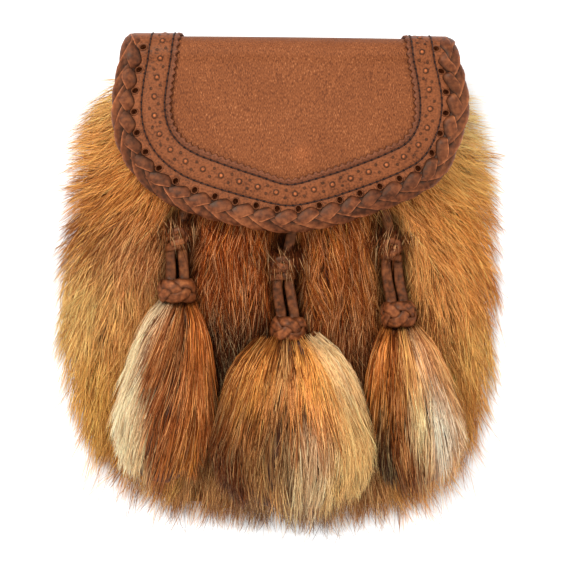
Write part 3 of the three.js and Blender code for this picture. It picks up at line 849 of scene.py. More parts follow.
def bandLine(part):
    # a line along the border at this share of its width, on the band's face
    t = np.linspace(flapFrom * 0.55, 1 - (1 - flapTo) * 0.55, 1500)
    flat = onBorder(t, part * borderWidth(t))
    face = border["low"] + border["thick"] + proud(flat[:, 1])
    points, over = onLeather(flat, face), onLeather(flat, face + 1 * mm)
    return evenSurface(points, unit(over - points))


shapes, tints = [], []
for part in border["stitchLines"]:
    line, length = bandLine(part)
    more = sewnLine(line, round(length / stitch["pitch"]))
    shapes += more[0]
    tints += more[1]
joinedPiece("border_stitching", shapes, threadFinish, (), tints)


# Punch marks stamped along the border

marks = {
    "line": 0.69, "pitch": 8.8 * mm, "ring": 1.4 * mm, "dot": 0.8 * mm, "height": 0.22 * mm,
    "pairGap": 3.9 * mm, "bandWidth": 27 * mm, "ringSides": 14, "dotSides": 8,
}
# rows from the mark's edge to its middle: share of its radius, height and tint
ringProfile = [(1.08, -1.6, 0.8), (1.08, 0.1, 0.5), (0.9, 0.7, 0.42), (0.68, 0.1, 0.2),
               (0.56, 0.5, 0.9), (0.42, 1.3, 1.7), (0.18, 1.7, 2.2)]
dotProfile = [(1.05, -1.6, 0.7), (1.05, 0.05, 0.55), (0.78, 0.5, 0.5), (0.5, 0.05, 0.2), (0.25, 0.3, 0.5)]


def punchMark(point, normal, along, radius, profile, sides):
    across = np.cross(normal, along)
    turns = np.arange(sides) / sides * math.tau
    around = np.cos(turns)[:, None] * along + np.sin(turns)[:, None] * across
    rings = [point + around * far * radius + normal * high * marks["height"]
             for far, high, shade in profile]
    tints = [np.full((sides, 3), shade) for far, high, shade in profile]
    return (np.vstack(rings), sweptFaces(len(rings), sides)), np.vstack(tints)


def stampMarks():
    # rings along one line, and a pair of dots between every two
    line, length = bandLine(marks["line"])
    apart = marks["pairGap"] / 2 / marks["bandWidth"]
    pairs = [bandLine(marks["line"] + side * apart)[0] for side in (-1, 1)]
    count = round(length / marks["pitch"])
    stamps = [(line, 0, marks["ring"], ringProfile, marks["ringSides"])]
    stamps += [(pair, 0.5 / count, marks["dot"], dotProfile, marks["dotSides"]) for pair in pairs]
    shapes, shades = [], []
    for k in range(count):
        at = np.array([(k + 0.25) / count, (k + 0.26) / count])
        for surface, offset, size, profile, sides in stamps:
            points, normals = surface(at + offset)
            ahead = unit(points[1] - points[0])
            shape, shade = punchMark(points[0], normals[0], ahead, size, profile, sides)
            shapes.append(shape)
            shades.append(shade)
    joinedPiece("border_punch_marks", shapes, bandLeather, (), shades)


stampMarks()
print("the border is sewn and stamped")


# Plaited lacing round the flap's edge

lace = {
    "thick": 0.9 * mm,
    # painted shade on the laces at the flap's sides, which turn away from the light
    "sideShade": 0.16,  # darker at the flap's sides
    "streaks": 0.1,
    # the underside's share of the top's tint: painted shade
    "underShade": 0.6,
    "rawTint": (2.6, 2.9, 3.0),  # the pale cut edge
    # the rim between the laces is tinted dark as painted shadow
    "coreTint": (0.16, 0.13, 0.13),
    "coreRings": 240,
    # the rim that the laces wrap: in from the outer edge and out of the leather, front to back
    "rim": [(10.4, 0.9), (9.4, 2.0), (7.6, 2.3), (4.4, 2.4), (2.2, 1.8), (0.7, 0.7), (0.15, -0.8),
            (0.7, -2.5), (2.2, -3.3), (4.4, -3.6), (7.6, -3.5), (10, -3.1)],
    "core": [(8.3, 1.2), (7.6, 2.0), (4.4, 2.1), (2.4, 1.5), (1.1, 0.5), (0.6, -0.8), (1.1, -2.2),
             (2.4, -2.9), (4.4, -3.2), (7.6, -3.1), (8.3, -2.9)],
    # each leaf: from and to in holes along the edge, start and end over the rim, its width, the rise
    # of its middle and the dip of its end, its tilt, and where its shade and its raw edge begin
    "rows": [
        {"name": "lace_inner_row", "from": -1.3, "to": -0.13, "start": 7.9, "end": 2.0, "width": 5.6,
         "rise": 0.7, "dip": 1.1, "shade": (-0.95, -0.35), "tilt": 0.42, "raw": 0.85},
        {"name": "lace_outer_row", "from": -1.5, "to": 0.75, "start": 4.9, "end": 11.0, "width": 5.0,
         "rise": 0.75, "dip": 0.3, "shade": (-0.35, 0.15), "tilt": 0.6, "raw": 0.7},
        {"name": "lace_back_row", "from": -1.4, "to": 0.1, "start": 12.0, "end": 20.5, "width": 6.6,
         "rise": 0.8, "dip": 0.4, "shade": (-0.95, -0.35), "tilt": 0.4, "raw": 0.85},
    ],
}
rimPoints = np.array(lace["rim"]) * mm
rimRun = runOf(rimPoints)
leafAlong = np.array([0, 0.06, 0.16, 0.3, 0.46, 0.62, 0.76, 0.87, 0.95, 1])
leafAcross = np.array([-1, -0.82, -0.45, 0, 0.45, 0.8, 0.93, 1])


def onRim(tau, around, lift):
    # tau counts holes along the rim, around is the distance over it from the front
    t = np.interp(tau, holeNumbers, holeTime)
    a = np.interp(around, rimRun, rimPoints[:, 0])
    h = np.interp(around, rimRun, rimPoints[:, 1])
    ahead, behind = (np.clip(around + d, 0, rimRun[-1]) for d in (0.5 * mm, -0.5 * mm))
    da = np.interp(ahead, rimRun, rimPoints[:, 0]) - np.interp(behind, rimRun, rimPoints[:, 0])
    dh = np.interp(ahead, rimRun, rimPoints[:, 1]) - np.interp(behind, rimRun, rimPoints[:, 1])
    size = np.maximum(np.hypot(da, dh), 1e-9)
    return onLeather(onBorder(t, a + dh / size * lift), h - da / size * lift)


def laceLeaf(number, leaf, chance):
    # one crossing of the lace: a long leaf, tucked under at its start, one side over its neighbour
    p, q = np.meshgrid(leafAlong, leafAcross, indexing="ij")
    tau = number + leaf["from"] + (leaf["to"] - leaf["from"]) * p
    around = (leaf["start"] + (leaf["end"] - leaf["start"]) * p) * mm
    runAlong = (leaf["to"] - leaf["from"]) * holePitch
    runAround = (leaf["end"] - leaf["start"]) * mm
    size = math.hypot(runAlong, runAround)
    shape = np.minimum(0.12 + 0.88 * share(p, 0, 0.46) ** 0.85, 1) * (1 - 0.1 * share(p, 0.8, 1) ** 1.5)
    half = leaf["width"] * mm / 2 * chance.uniform(0.94, 1.05) * shape * q
    tau = tau - half * runAround / size / holePitch
    around = np.clip(around + half * runAlong / size, 0, rimRun[-1])
    base = leaf["rise"] * np.sin(np.pi * (0.08 + 0.87 * p)) ** 0.7 - leaf["dip"] * share(p, 0.86, 1) ** 2
    tilt = leaf["tilt"] * q * np.sin(np.pi * (0.1 + 0.8 * p))
    high = (base + 0.16 * (1 - q * q) + tilt + chance.normal(0, 0.05)) * mm
    top = onRim(tau, around, high)
    low = onRim(tau, around, high - lace["thick"])
    n, m = p.shape
    faces, under = [], n * m
    for i in range(n - 1):
        for j in range(m - 1):
            a, b, c, d = i * m + j, i * m + j + 1, (i + 1) * m + j + 1, (i + 1) * m + j
            faces += [[a, d, c, b], [under + a, under + b, under + c, under + d]]
    rim = [i * m for i in range(n)] + [(n - 1) * m + j for j in range(1, m)]
    rim += [i * m + m - 1 for i in range(n - 2, -1, -1)] + list(range(m - 2, 0, -1))
    faces += [[b, a, under + a, under + b] for a, b in zip(rim, rim[1:] + rim[:1])]
    # painted shade where it tucks under its neighbour, at both ends and towards one side; streaked along,
    # pale at its cut edge
    shade = chance.uniform(0.84, 1.14) * (0.3 + 0.7 * share(q, *leaf["shade"]))
    shade = shade * (0.12 + 0.88 * share(p, 0.02, 0.2)) * (1 - 0.45 * share(p, 0.88, 1))
    shade = shade * (1 + 0.12 * q + lace["streaks"] * np.sin(8 * q + chance.uniform(0, 6)))
    # painted shade on the laces at the flap's sides
    beside = abs(onBorder(np.interp(number, holeNumbers, holeTime), 0.0)[0] - leather["middle"])
    shade = shade * (1 - lace["sideShade"] * share(beside, 50 * mm, 68 * mm))
    raw = share(q, leaf["raw"], 0.95) * share(p, 0.03, 0.12) * share(p, 1, 0.85) * chance.uniform(0.3, 1.3)
    tint = shade[..., None] * np.ones(3) * (1 - raw[..., None]) + raw[..., None] * np.array(lace["rawTint"])
    tint = tint.reshape(-1, 3)
    points = np.vstack([top.reshape(-1, 3), low.reshape(-1, 3)])
    return (points, faces), np.vstack([tint, tint * lace["underShade"]])


def plaitLace():
    chance = np.random.default_rng(5)
    for leaf in lace["rows"]:
        made = [laceLeaf(number, leaf, chance) for number in holeNumbers[2:-1]]
        joinedPiece(leaf["name"], [shape for shape, tint in made], laceLeather, ["flap_lace"],
                    [tint for shape, tint in made])
    # the rim under the laces, dark between them as painted shadow
    numbers = np.linspace(holeNumbers[1] + 0.3, holeNumbers[-2] + 0.6, lace["coreRings"])
    times = np.interp(numbers, holeNumbers, holeTime)
    a, h = np.array(lace["core"]).T * mm
    rings = [onLeather(onBorder(np.full(len(a), t), a), h) for t in times]
    faces = sweptFaces(len(times), len(a))
    core = meshPiece("lace_core", np.vstack(rings), faces, laceLeather, ["flap_lace"])
    tintPoints(core.data, lace["coreTint"])


plaitLace()
print("the lacing is plaited")


# The strap keeper and the back's sewing

def makeKeeper():
    deselectAll()
    bpy.ops.mesh.primitive_grid_add(x_subdivisions=44, y_subdivisions=40, size=1)
    piece = bpy.context.object
    piece.name = piece.data.name = "strap_keeper"
    x, y = (np.array([v.co[k] for v in piece.data.vertices]) * 2 for k in range(2))
    # round its corners, and press a channel where it is sewn
    halfX, halfY, corner = keeper["halfX"], keeper["halfY"], keeper["corner"]
    x, y = x * halfX, y * halfY
    overX, overY = np.maximum(np.abs(x) - (halfX - corner), 0), np.maximum(np.abs(y) - (halfY - corner), 0)
    far = np.maximum(np.hypot(overX, overY), 1e-9)
    pull = np.where((overX > 0) & (overY > 0), np.maximum(overX, overY) / far, 1)
    x = np.sign(x) * (np.minimum(np.abs(x), halfX - corner) + overX * pull)
    y = np.sign(y) * (np.minimum(np.abs(y), halfY - corner) + overY * pull)
    channel = np.exp(-((halfY - np.abs(y) - keeper["seam"]) / (0.9 * mm)) ** 2)
    z = keeper["channel"] * channel * share(halfX - np.abs(x), 1 * mm, 3 * mm)
    points = np.stack([x + leather["middle"], y + keeper["y"], z], 1)
    piece.data.vertices.foreach_set("co", points.astype(np.float32).ravel())
    bpy.ops.object.mode_set(mode="EDIT")
    bpy.ops.mesh.select_all(action="SELECT")
    bpy.ops.mesh.flip_normals()
    bpy.ops.object.mode_set(mode="OBJECT")
    applyModifier(piece, "SOLIDIFY", thickness=keeper["thick"], offset=-1)
    applyModifier(piece, "BEVEL", width=keeper["bevel"], segments=3, angle_limit=math.radians(50))
    # darker along its two seams
    fromMiddle = np.abs(np.array([v.co.y for v in piece.data.vertices]) - keeper["y"])
    seam = np.exp(-(np.abs(keeper["halfY"] - fromMiddle) / mm - keeper["seam"] / mm) ** 2)
    tintPoints(piece.data, 1 - keeper["seamShade"] * np.repeat(seam[:, None], 3, 1))
    finishPiece(piece, fieldLeather, ["belt_loop"])


def downward(points):
    return np.tile([0.0, 0.0, -1.0], (len(points), 1))


def sewBack():
    # round the back panel, a little in from its edge, and along the keeper's two sewn sides
    ys = np.linspace(96 * mm, -77 * mm, 120)
    half = np.interp(ys, panelY, panelHalf) - stitch["backIn"]
    foot = np.stack([np.linspace(-half[-1], half[-1], 20)[1:-1], np.full(18, ys[-1])], 1)
    flat = np.vstack([np.stack([-half, ys], 1), foot, np.stack([half, ys], 1)[::-1]])
    flat[:, 1] = foldY + foldLength + (foldY - flat[:, 1])
    points = onLeather(flat, -sheetLook["backLift"])
    line, length = evenSurface(points, downward(points))
    shapes, tints = sewnLine(line, round(length / stitch["backPitch"]), stitch["backGap"])
    joinedPiece("back_stitching", shapes, threadFinish, (), tints)
    shapes, tints = [], []
    for side in (-1, 1):
        x = np.linspace(-1, 1, 30) * (keeper["halfX"] - keeper["seam"]) + leather["middle"]
        y = keeper["y"] + side * (keeper["halfY"] - keeper["seam"])
        points = np.stack([x, np.full(30, y), np.full(30, 0.65 * mm)], 1)
        line, length = evenSurface(points, downward(points))
        more = sewnLine(line, keeper["seamStitches"], stitch["backGap"])
        shapes += more[0]
        tints += more[1]
    joinedPiece("keeper_stitching", shapes, threadFinish, (), tints)


makeKeeper()
sewBack()
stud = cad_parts["flap_stud"]
stud.data.materials.clear()
stud.data.materials.append(makeBrass())
print("the back is sewn")


# The fur's form

# The outer form of the hair, a row for each section across the pouch
furRows = [
    {"y": 102.0, "left": -63, "right": 74, "front": 27},
    {"y": 96.0, "left": -74, "right": 80, "front": 29},
    {"y": 88.0, "left": -83, "right": 86, "front": 30.5},
    {"y": 77.0, "left": -90, "right": 92, "front": 31.5},
    {"y": 60.0, "left": -95, "right": 97, "front": 32},
    {"y": 37.0, "left": -98, "right": 99.5, "front": 32},
    {"y": 14.0, "left": -100, "right": 101, "front": 31.5},
    {"y": -8.0, "left": -101, "right": 101, "front": 30},
    {"y": -31.0, "left": -100.5, "right": 100.5, "front": 27},
    {"y": -53.0, "left": -99, "right": 100.5, "front": 24},
    {"y": -71.0, "left": -91.5, "right": 95, "front": 21},
    {"y": -89.0, "left": -73, "right": 81, "front": 17},
    {"y": -100.0, "left": -60, "right": 65, "front": 13.5},
    {"y": -108.0, "left": -36, "right": 48, "front": 9},
    {"y": -112.8, "left": -8, "right": 24, "front": 4},
]
rowY, rowLeft, rowRight, rowFront = (c[::-1] * mm for c in columns(furRows, "y", "left", "right", "front"))
# the hair parts where each thong and its tassel lie
parting = {
    "x": (-46 * mm, 4 * mm, 54 * mm), "depth": 9 * mm, "width": 11 * mm,
    "top": 34 * mm, "full": 18 * mm, "bottom": -64 * mm, "fade": 30 * mm,
    "turn": 13, "turnReach": 9 * mm,  # the hair beside it turns this many degrees towards it
}
outline = np.vstack([np.stack([rowLeft, rowY], 1), np.stack([rowRight, rowY], 1)[::-1]])


def formHeight(x, y):
    # how high the hair's outer form stands over the floor
    left, right = np.interp(y, rowY, rowLeft), np.interp(y, rowY, rowRight)
    across = np.clip((2 * x - left - right) / (right - left), -1, 1)
    dome = np.sqrt(np.maximum(0, 1 - across ** 4))
    fade = share(y, parting["top"], parting["full"])
    fade = fade * share(y, parting["bottom"], parting["bottom"] + parting["fade"])
    groove = np.max([np.exp(-((x - p) / parting["width"]) ** 2) for p in parting["x"]], axis=0)
    return (np.interp(y, rowY, rowFront) - parting["depth"] * fade * groove) * dome


def outside(x, y):
    # distance from the fur's outline, negative inside it
    start, end = outline, np.roll(outline, -1, axis=0)
    run = end - start
    point = np.stack([x, y], -1)[..., None, :]
    along = np.clip(((point - start) * run).sum(-1) / (run ** 2).sum(-1), 0, 1)
    near = np.linalg.norm(point - start - along[..., None] * run, axis=-1).min(-1)
    left, right = np.interp(y, rowY, rowLeft), np.interp(y, rowY, rowRight)
    within = (x > left) & (x < right) & (y > rowY[0]) & (y < rowY[-1])
    return np.where(within, -near, near)


# Hair: every hair is a closed three-sided spindle that ends in a point

hair = {
    "pointsAlong": 9,  # points on a lock's line
    # where a hair has its rings of three points, before its tip, and their share of its thickness
    "long": {"rings": (0, 0.34, 0.7), "taper": (0.75, 1, 0.72)},
    "short": {"rings": (0, 0.5), "taper": (0.7, 1)},
    "perPiece": 11000,
    "flatness": 0.7,  # of a hair's section
    # past these two the tips are drawn in, to this share of what is past
    "lowestY": -118 * mm,
    "widestX": 108 * mm,
    "beyond": 0.3,
    # where its side faces begin and its tip begins and ends in its own cell of the map
    "mapRoot": 0.12, "mapSides": 0.56, "mapTip": (0.68, 0.98), "mapMargin": 0.08,
}


def hairPiece(name, kind, paths, thickness, tints, finish, stands=()):
    # paths: hairs by rings and a tip by 3, root to tip, and as many tints
    count, rings = len(paths), paths.shape[1] - 1
    each = 3 * rings + 1
    for axis, most in ((0, hair["widestX"]), (1, -hair["lowestY"])):
        past = np.maximum(np.abs(paths[..., axis]) - most, 0)
        paths[..., axis] -= np.sign(paths[..., axis]) * past * (1 - hair["beyond"])
    tangents = unit(np.gradient(paths, axis=1))
    side = unit(np.cross(tangents, np.array([0, 0, 1.0])) + 1e-9)
    over = np.cross(side, tangents)
    rows = []
    for k in range(rings):
        for turn in (90, 210, 330):
            a = math.radians(turn)
            offset = side[:, k] * math.cos(a) + over[:, k] * math.sin(a) * hair["flatness"]
            rows.append(paths[:, k] + offset * (thickness / 2 * hair[kind]["taper"][k])[:, None])
    rows.append(paths[:, -1])
    points = np.stack(rows, 1).reshape(-1, 3)
    shades = np.repeat(tints, [3] * rings + [1], axis=1).reshape(-1, 3)
    faces, spots = [], []
    tipStart, tipEnd = hair["mapTip"]
    for k in range(rings - 1):
        near, far = (hair["mapRoot"] + hair["mapSides"] / (rings - 1) * i for i in (k, k + 1))
        for j in range(3):
            a, b = 3 * k + j, 3 * k + (j + 1) % 3
            faces.append([a, b, b + 3, a + 3])
            spots += [(j / 3, near), ((j + 1) / 3, near), ((j + 1) / 3, far), (j / 3, far)]
    for j in range(3):
        faces.append([each - 4 + j, each - 4 + (j + 1) % 3, each - 1])
        spots += [(j / 3, tipStart), ((j + 1) / 3, tipStart), ((j + 0.5) / 3, tipEnd)]
    faces.append([0, 2, 1])
    spots += [(0.1, 0.02), (0.5, 0.1), (0.9, 0.02)]
    corners = np.array([v for face in faces for v in face])
    sizes = np.array([len(face) for face in faces])
    starts = np.concatenate([[0], np.cumsum(sizes)[:-1]])
    loops = (corners + np.arange(count)[:, None] * each).ravel()
    mesh = bpy.data.meshes.new(name)
    mesh.vertices.add(count * each)
    mesh.vertices.foreach_set("co", points.astype(np.float32).ravel())
    mesh.loops.add(len(loops))
    mesh.loops.foreach_set("vertex_index", loops.astype(np.int32))
    mesh.polygons.add(count * len(sizes))
    firsts = (starts + np.arange(count)[:, None] * len(corners)).ravel()
    mesh.polygons.foreach_set("loop_start", firsts.astype(np.int32))
    mesh.update(calc_edges=True)
    tintPoints(mesh, shades, "hairTint")
    # every hair has a cell of its own on the map
    cells = math.ceil(math.sqrt(count))
    cell = np.stack([np.arange(count) % cells, np.arange(count) // cells], 1)[:, None, :]
    spread = (cell + hair["mapMargin"] + (1 - 2 * hair["mapMargin"]) * np.array(spots)[None]) / cells
    bakeMap = mesh.uv_layers.new(name="OFBake")
    bakeMap.data.foreach_set("uv", spread.astype(np.float32).ravel())
    return finishPiece(linkPiece(name, mesh), finish, stands)


def alongLine(lines, t):
    # the points at t, from 0 to 1, on lines of evenly spaced points
    last = lines.shape[1] - 1
    at = np.clip(t, 0, 1) * last
    low = np.minimum(at.astype(int), last - 1)
    row = np.arange(len(lines))
    part = (at - low)[:, None]
    return lines[row, low] * (1 - part) + lines[row, low + 1] * part


def patchTint(table, x, y, colours):
    # the tints of soft overlapping patches: each row is x, y, radius
    far = (x[:, None] - table[:, 0]) ** 2 + (y[:, None] - table[:, 1]) ** 2
    weight = np.exp(-far / table[:, 2] ** 2) + 1e-9
    return (weight @ colours) / weight.sum(1, keepdims=True)


def growLocks(kind, lines, rootShift, lengthShare, gather, rootHeights, wander):
    # hairs that follow their lock's line and gather towards its tip
    out = []
    for t in (*hair[kind]["rings"], 1.0):
        at = t * lengthShare
        loose = (1 - gather * np.clip(at, 0, 1.2) ** 1.2)[:, None]
        point = alongLine(lines, at) + np.hstack([rootShift * loose, np.zeros((len(lines), 1))])
        point += wander * t ** 1.5
        # a hair longer than its lock goes straight on
        more = np.maximum(lengthShare - 1, 0)[:, None] * t
        point += (lines[:, -1] - lines[:, -2]) * more * (lines.shape[1] - 1)
        if t == 0:
            point[:, 2] = rootHeights
        out.append(point)
    return np.stack(out, 1)


# How the hairs of a patch differ, in every kind of fur
variety = {
    "luminance": (0.21, 0.72, 0.07),  # the weights of red, green and blue in a tint's brightness
    "calm": 0.85,  # how much less the palest patches vary
    "calmPower": 0.7,
    "paleLift": 0.12,
    "bright": (0.8, 1.15, 1.3),  # a brighter hair is more golden, a darker one redder
    "hueTurn": (-0.4, 0.5, 0.8),
    "fallAt": (0, 0.34, 0.7, 1),  # where the root, low, plain and tip tints are, from root to tip
    "paleThickness": 0.85, "otherThickness": 1.1,
}


def tintHairs(kind, base, chance, lockShade, tone):
    # root to tip tints: most hairs are near their patch's tint, some are dark and some pale; and a
    # share of thickness, for the pale ones are finer
    choice = chance.random(len(base))[:, None]
    dark, pale = choice < tone["darkShare"], choice > 1 - tone["paleShare"]
    brighter = (chance.normal(0, tone["spread"], len(base)) + lockShade)[:, None]
    strength = 1 - variety["calm"] * (base @ np.array(variety["luminance"]))[:, None]
    change = brighter * strength ** variety["calmPower"] * np.array(variety["bright"])
    tint = base * np.exp(change + variety["paleLift"] * (1 - strength))
    tint = np.where(dark, tint * np.array(tone["dark"]) ** strength, tint)
    tint = np.where(pale, tint * tone["pale"] + np.array(tone["paleAdd"]) * strength, tint)
    hue = chance.normal(0, tone["hue"], (len(base), 1))
    tint = tint * np.exp(hue * np.array(variety["hueTurn"]))
    # darker towards the root: partly the hair's own colour, partly painted shade deep in the coat
    steps = np.array([tone["root"], tone["low"], (1, 1, 1), tone["tip"]])
    places = (*hair[kind]["rings"], 1)
    fall = np.stack([np.interp(places, variety["fallAt"], steps[:, c]) for c in range(3)], 1)
    tints = tint[:, None] * fall[None] ** strength[:, None]
    # a tint that would pass white keeps its hue
    tints = np.maximum(tints / np.maximum(tints.max(2, keepdims=True) / tone["most"], 1), 0.002)
    return tints, np.where(pale[:, 0], variety["paleThickness"], variety["otherThickness"])


# The pouch's fur

furLook = {
    "locks": 4200,
    "long": {"hairs": 22000, "thickness": 0.28 * mm},
    "short": {"hairs": 21600, "thickness": 0.23 * mm},
    "length": 26 * mm, "lengthSpread": 0.18,
    "depth": 6 * mm,  # from the hide up to the outer form
    "inset": 6 * mm,  # the hide's edge inside the outer form
    "drop": 0.55,  # how fast a hair falls past the edge
    "lockRadius": 3.4 * mm,
    "lockLift": 1.1 * mm,
    "lockTurn": 12,  # degrees that the locks turn from the hair's lie
    "lockShade": 0.27,
    "share": (0.88, 0.18),  # a hair's share of its lock's length: mean and spread
    "gather": (0.5, 0.2),  # how much it gathers to its lock's tip
    "wander": 1.4 * mm,
    # loose wisps: their share of the hairs, what is added to it low down, their length and thickness
    "wispShare": 0.04, "lowWisps": 0.12, "wispLength": (1.15, 1.8), "wispThickness": 0.6,
    "swirl": 9, "swirlSize": 17 * mm, "sway": 8, "swaySize": 40 * mm,  # in the hair's lie, degrees
}
# How its hairs vary: shares of dark and pale ones, what they do to the tint, and root to tip
furTone = {
    "spread": 0.5, "hue": 0.06, "most": 0.96,
    "darkShare": 0.3, "dark": (0.34, 0.22, 0.16),
    "paleShare": 0.28, "pale": 1.35, "paleAdd": (0.32, 0.24, 0.12),
    "root": (0.5, 0.38, 0.32), "low": (0.88, 0.84, 0.82), "tip": (1.2, 1.25, 1.27),
}

# Patches of the fur's colour: middle, radius and tint
furPatches = [
    {"x": -86, "y": 84, "r": 13, "tint": (230, 182, 108)},
    {"x": -92, "y": 62, "r": 16, "tint": (234, 170, 92)},
    {"x": -72, "y": 42, "r": 17, "tint": (228, 152, 76)},
    {"x": -93, "y": 18, "r": 18, "tint": (184, 118, 56)},
    {"x": -66, "y": 8, "r": 18, "tint": (196, 128, 76)},
    {"x": -58, "y": 29, "r": 10, "tint": (232, 150, 76)},
    {"x": -96, "y": -22, "r": 17, "tint": (246, 204, 126)},
    {"x": -72, "y": -28, "r": 16, "tint": (236, 172, 98)},
    {"x": -84, "y": -62, "r": 18, "tint": (234, 176, 90)},
    {"x": -60, "y": -88, "r": 16, "tint": (198, 134, 62)},
    {"x": -32, "y": -98, "r": 14, "tint": (176, 118, 68)},
    {"x": -30, "y": 25, "r": 17, "tint": (172, 82, 30)},
    {"x": -26, "y": -5, "r": 17, "tint": (158, 76, 28)},
    {"x": -24, "y": -38, "r": 15, "tint": (86, 42, 20)},
    # the next patch, between the left and middle tassels, is darkened as painted shade
    {"x": -27, "y": -70, "r": 14, "tint": (62, 32, 16)},
    {"x": 24, "y": 22, "r": 17, "tint": (172, 90, 36)},
    {"x": 30, "y": -8, "r": 16, "tint": (166, 88, 36)},
    {"x": 32, "y": -36, "r": 13, "tint": (142, 76, 38)},
    {"x": 40, "y": -72, "r": 12, "tint": (112, 68, 40)},
    {"x": 68, "y": 30, "r": 16, "tint": (228, 154, 82)},
    {"x": 72, "y": 0, "r": 17, "tint": (246, 176, 100)},
    {"x": 74, "y": -32, "r": 14, "tint": (196, 122, 64)},
    {"x": 90, "y": 74, "r": 13, "tint": (255, 220, 150)},
    {"x": 88, "y": 52, "r": 15, "tint": (255, 200, 112)},
    {"x": 92, "y": 20, "r": 17, "tint": (250, 178, 90)},
    {"x": 97, "y": -14, "r": 12, "tint": (240, 164, 84)},
    {"x": 92, "y": -36, "r": 14, "tint": (250, 194, 108)},
    {"x": 86, "y": -62, "r": 16, "tint": (244, 178, 94)},
    {"x": 70, "y": -90, "r": 15, "tint": (232, 166, 88)},
    {"x": 42, "y": -102, "r": 13, "tint": (188, 132, 80)},
    {"x": 4, "y": -108, "r": 14, "tint": (156, 110, 72)},
]
# where the hair lies in the shade of a thong's two runs and its knots
shadeRuns = np.array([[(-44, 28), (-46, -6)], [(3, 18), (5.4, -22)], [(50, 26), (55.6, -15)]]) * mm
knotShade = {"reach": 8 * mm, "most": 0.88}


def underFlap(x, y):
    # how far inside the flap's lower edge a point lies, in Y, or negative beside the flap
    off = x - leather["middle"]
    edge = outerEdge(np.linspace(0, 1, 400))
    lower = edge[edge[:, 1] < 90 * mm]
    inside = y - np.interp(off, lower[:, 0], lower[:, 1])
    beyond = np.maximum(np.abs(off) - 79 * mm, 0)
    return np.where(beyond > 0, -beyond, inside)


def ceiling(x, y):
    # the most that a hair may rise under the flap's lacing
    off = (x - leather["middle"]) / leather["halfWidth"]
    low = leather["frontZ"] - 4.8 * mm - leather["crown"] * off ** 2
    low = low - leather["droop"] * share(y, foldY, flapLowV)
    return np.where(underFlap(x, y) > -1.5 * mm, low, 1.0)


# The way the hair lies: the most it turns from straight down at the sides, and how that grows across
flowRows = [
    {"y": -112, "most": 35, "power": 1.0},
    {"y": -90, "most": 25, "power": 1.3},
    {"y": -60, "most": 18, "power": 1.6},
    {"y": -30, "most": 18, "power": 1.75},
    {"y": -9, "most": 21, "power": 1.8},
    {"y": 8, "most": 35, "power": 1.4},
    {"y": 20, "most": 48, "power": 1.2},
    {"y": 40, "most": 66, "power": 1.0},
    {"y": 57, "most": 76, "power": 0.65},
    {"y": 70, "most": 74, "power": 0.65},
    {"y": 80, "most": 78, "power": 0.7},
    {"y": 95, "most": 90, "power": 0.7},
]
flowY, flowMost, flowPower = columns(flowRows, "y", "most", "power")


def flowAngle(x, y):
    # towards the right, from straight down
    across = (x - 2 * mm) / (100 * mm)
    most, power = np.interp(y / mm, flowY, flowMost), np.interp(y / mm, flowY, flowPower)
    angle = np.sign(across) * most * np.abs(across) ** power
    # towards the partings
    for p in parting["x"]:
        off = (p - x) / parting["turnReach"]
        pull = np.exp(-np.abs(off)) * (1 - np.exp(-np.abs(off) * 4)) * share(y, -60 * mm, -20 * mm)
        angle = angle + parting["turn"] * np.sign(off) * pull
    swirl = furLook["swirl"] * softNoise(x, y, furLook["swirlSize"], 4)
    swirl = swirl * np.maximum(1 - np.abs(across) ** 3, 0)
    return np.radians(angle + furLook["sway"] * softNoise(x, y, furLook["swaySize"], 3) + swirl)


def hideHeight(x, y):
    # the skin that the hair grows from
    shrink = 1 + furLook["inset"] / (95 * mm)
    return np.maximum(formHeight(x * shrink, y * shrink) - furLook["depth"], 4 * mm * (outside(x, y) < 0))


def lockLines(x, y, length, angleOff, lift):
    # the line of each lock: along the flow, up to the outer form, falling slowly past the edge
    steps = hair["pointsAlong"] - 1
    z = base = hideHeight(x, y)
    line = [np.stack([x, y, z], 1)]
    for k in range(1, steps + 1):
        angle = flowAngle(x, y) + angleOff
        x = x + np.sin(angle) * length / steps
        y = y - np.cos(angle) * length / steps
        rise = 1 - (1 - k / steps) ** 1.8
        goal = base * (1 - rise) + (formHeight(x, y) + lift) * rise
        z = np.clip(np.maximum(goal, z - furLook["drop"] * length / steps), 0.6 * mm, ceiling(x, y))
        line.append(np.stack([x, y, z], 1))
    return np.stack(line, 1)


def scatterRoots(count, chance):
    # even random places on the hide, none deep under the flap
    found = []
    while sum(len(f) for f in found) < count:
        x = chance.uniform(-102 * mm, 102 * mm, count)
        y = chance.uniform(-112 * mm, 102 * mm, count)
        nearEdge = (underFlap(x, y) < 22 * mm) | (np.abs(x - leather["middle"]) > 56 * mm)
        keep = (outside(x, y) < -furLook["inset"] * 0.7) & nearEdge
        found.append(np.stack([x, y], 1)[keep])
    return np.vstack(found)[:count]


def shadeNear(x, y):
    spots = np.stack([x, y], -1)[:, None]
    start, run = shadeRuns[:, 0], shadeRuns[:, 1] - shadeRuns[:, 0]
    along = np.clip(((spots - start) * run).sum(-1) / (run ** 2).sum(-1), 0, 1)
    near = np.linalg.norm(spots - start - along[..., None] * run, axis=-1).min(1)
    return 1 - knotShade["most"] * np.exp(-(near / knotShade["reach"]) ** 5)


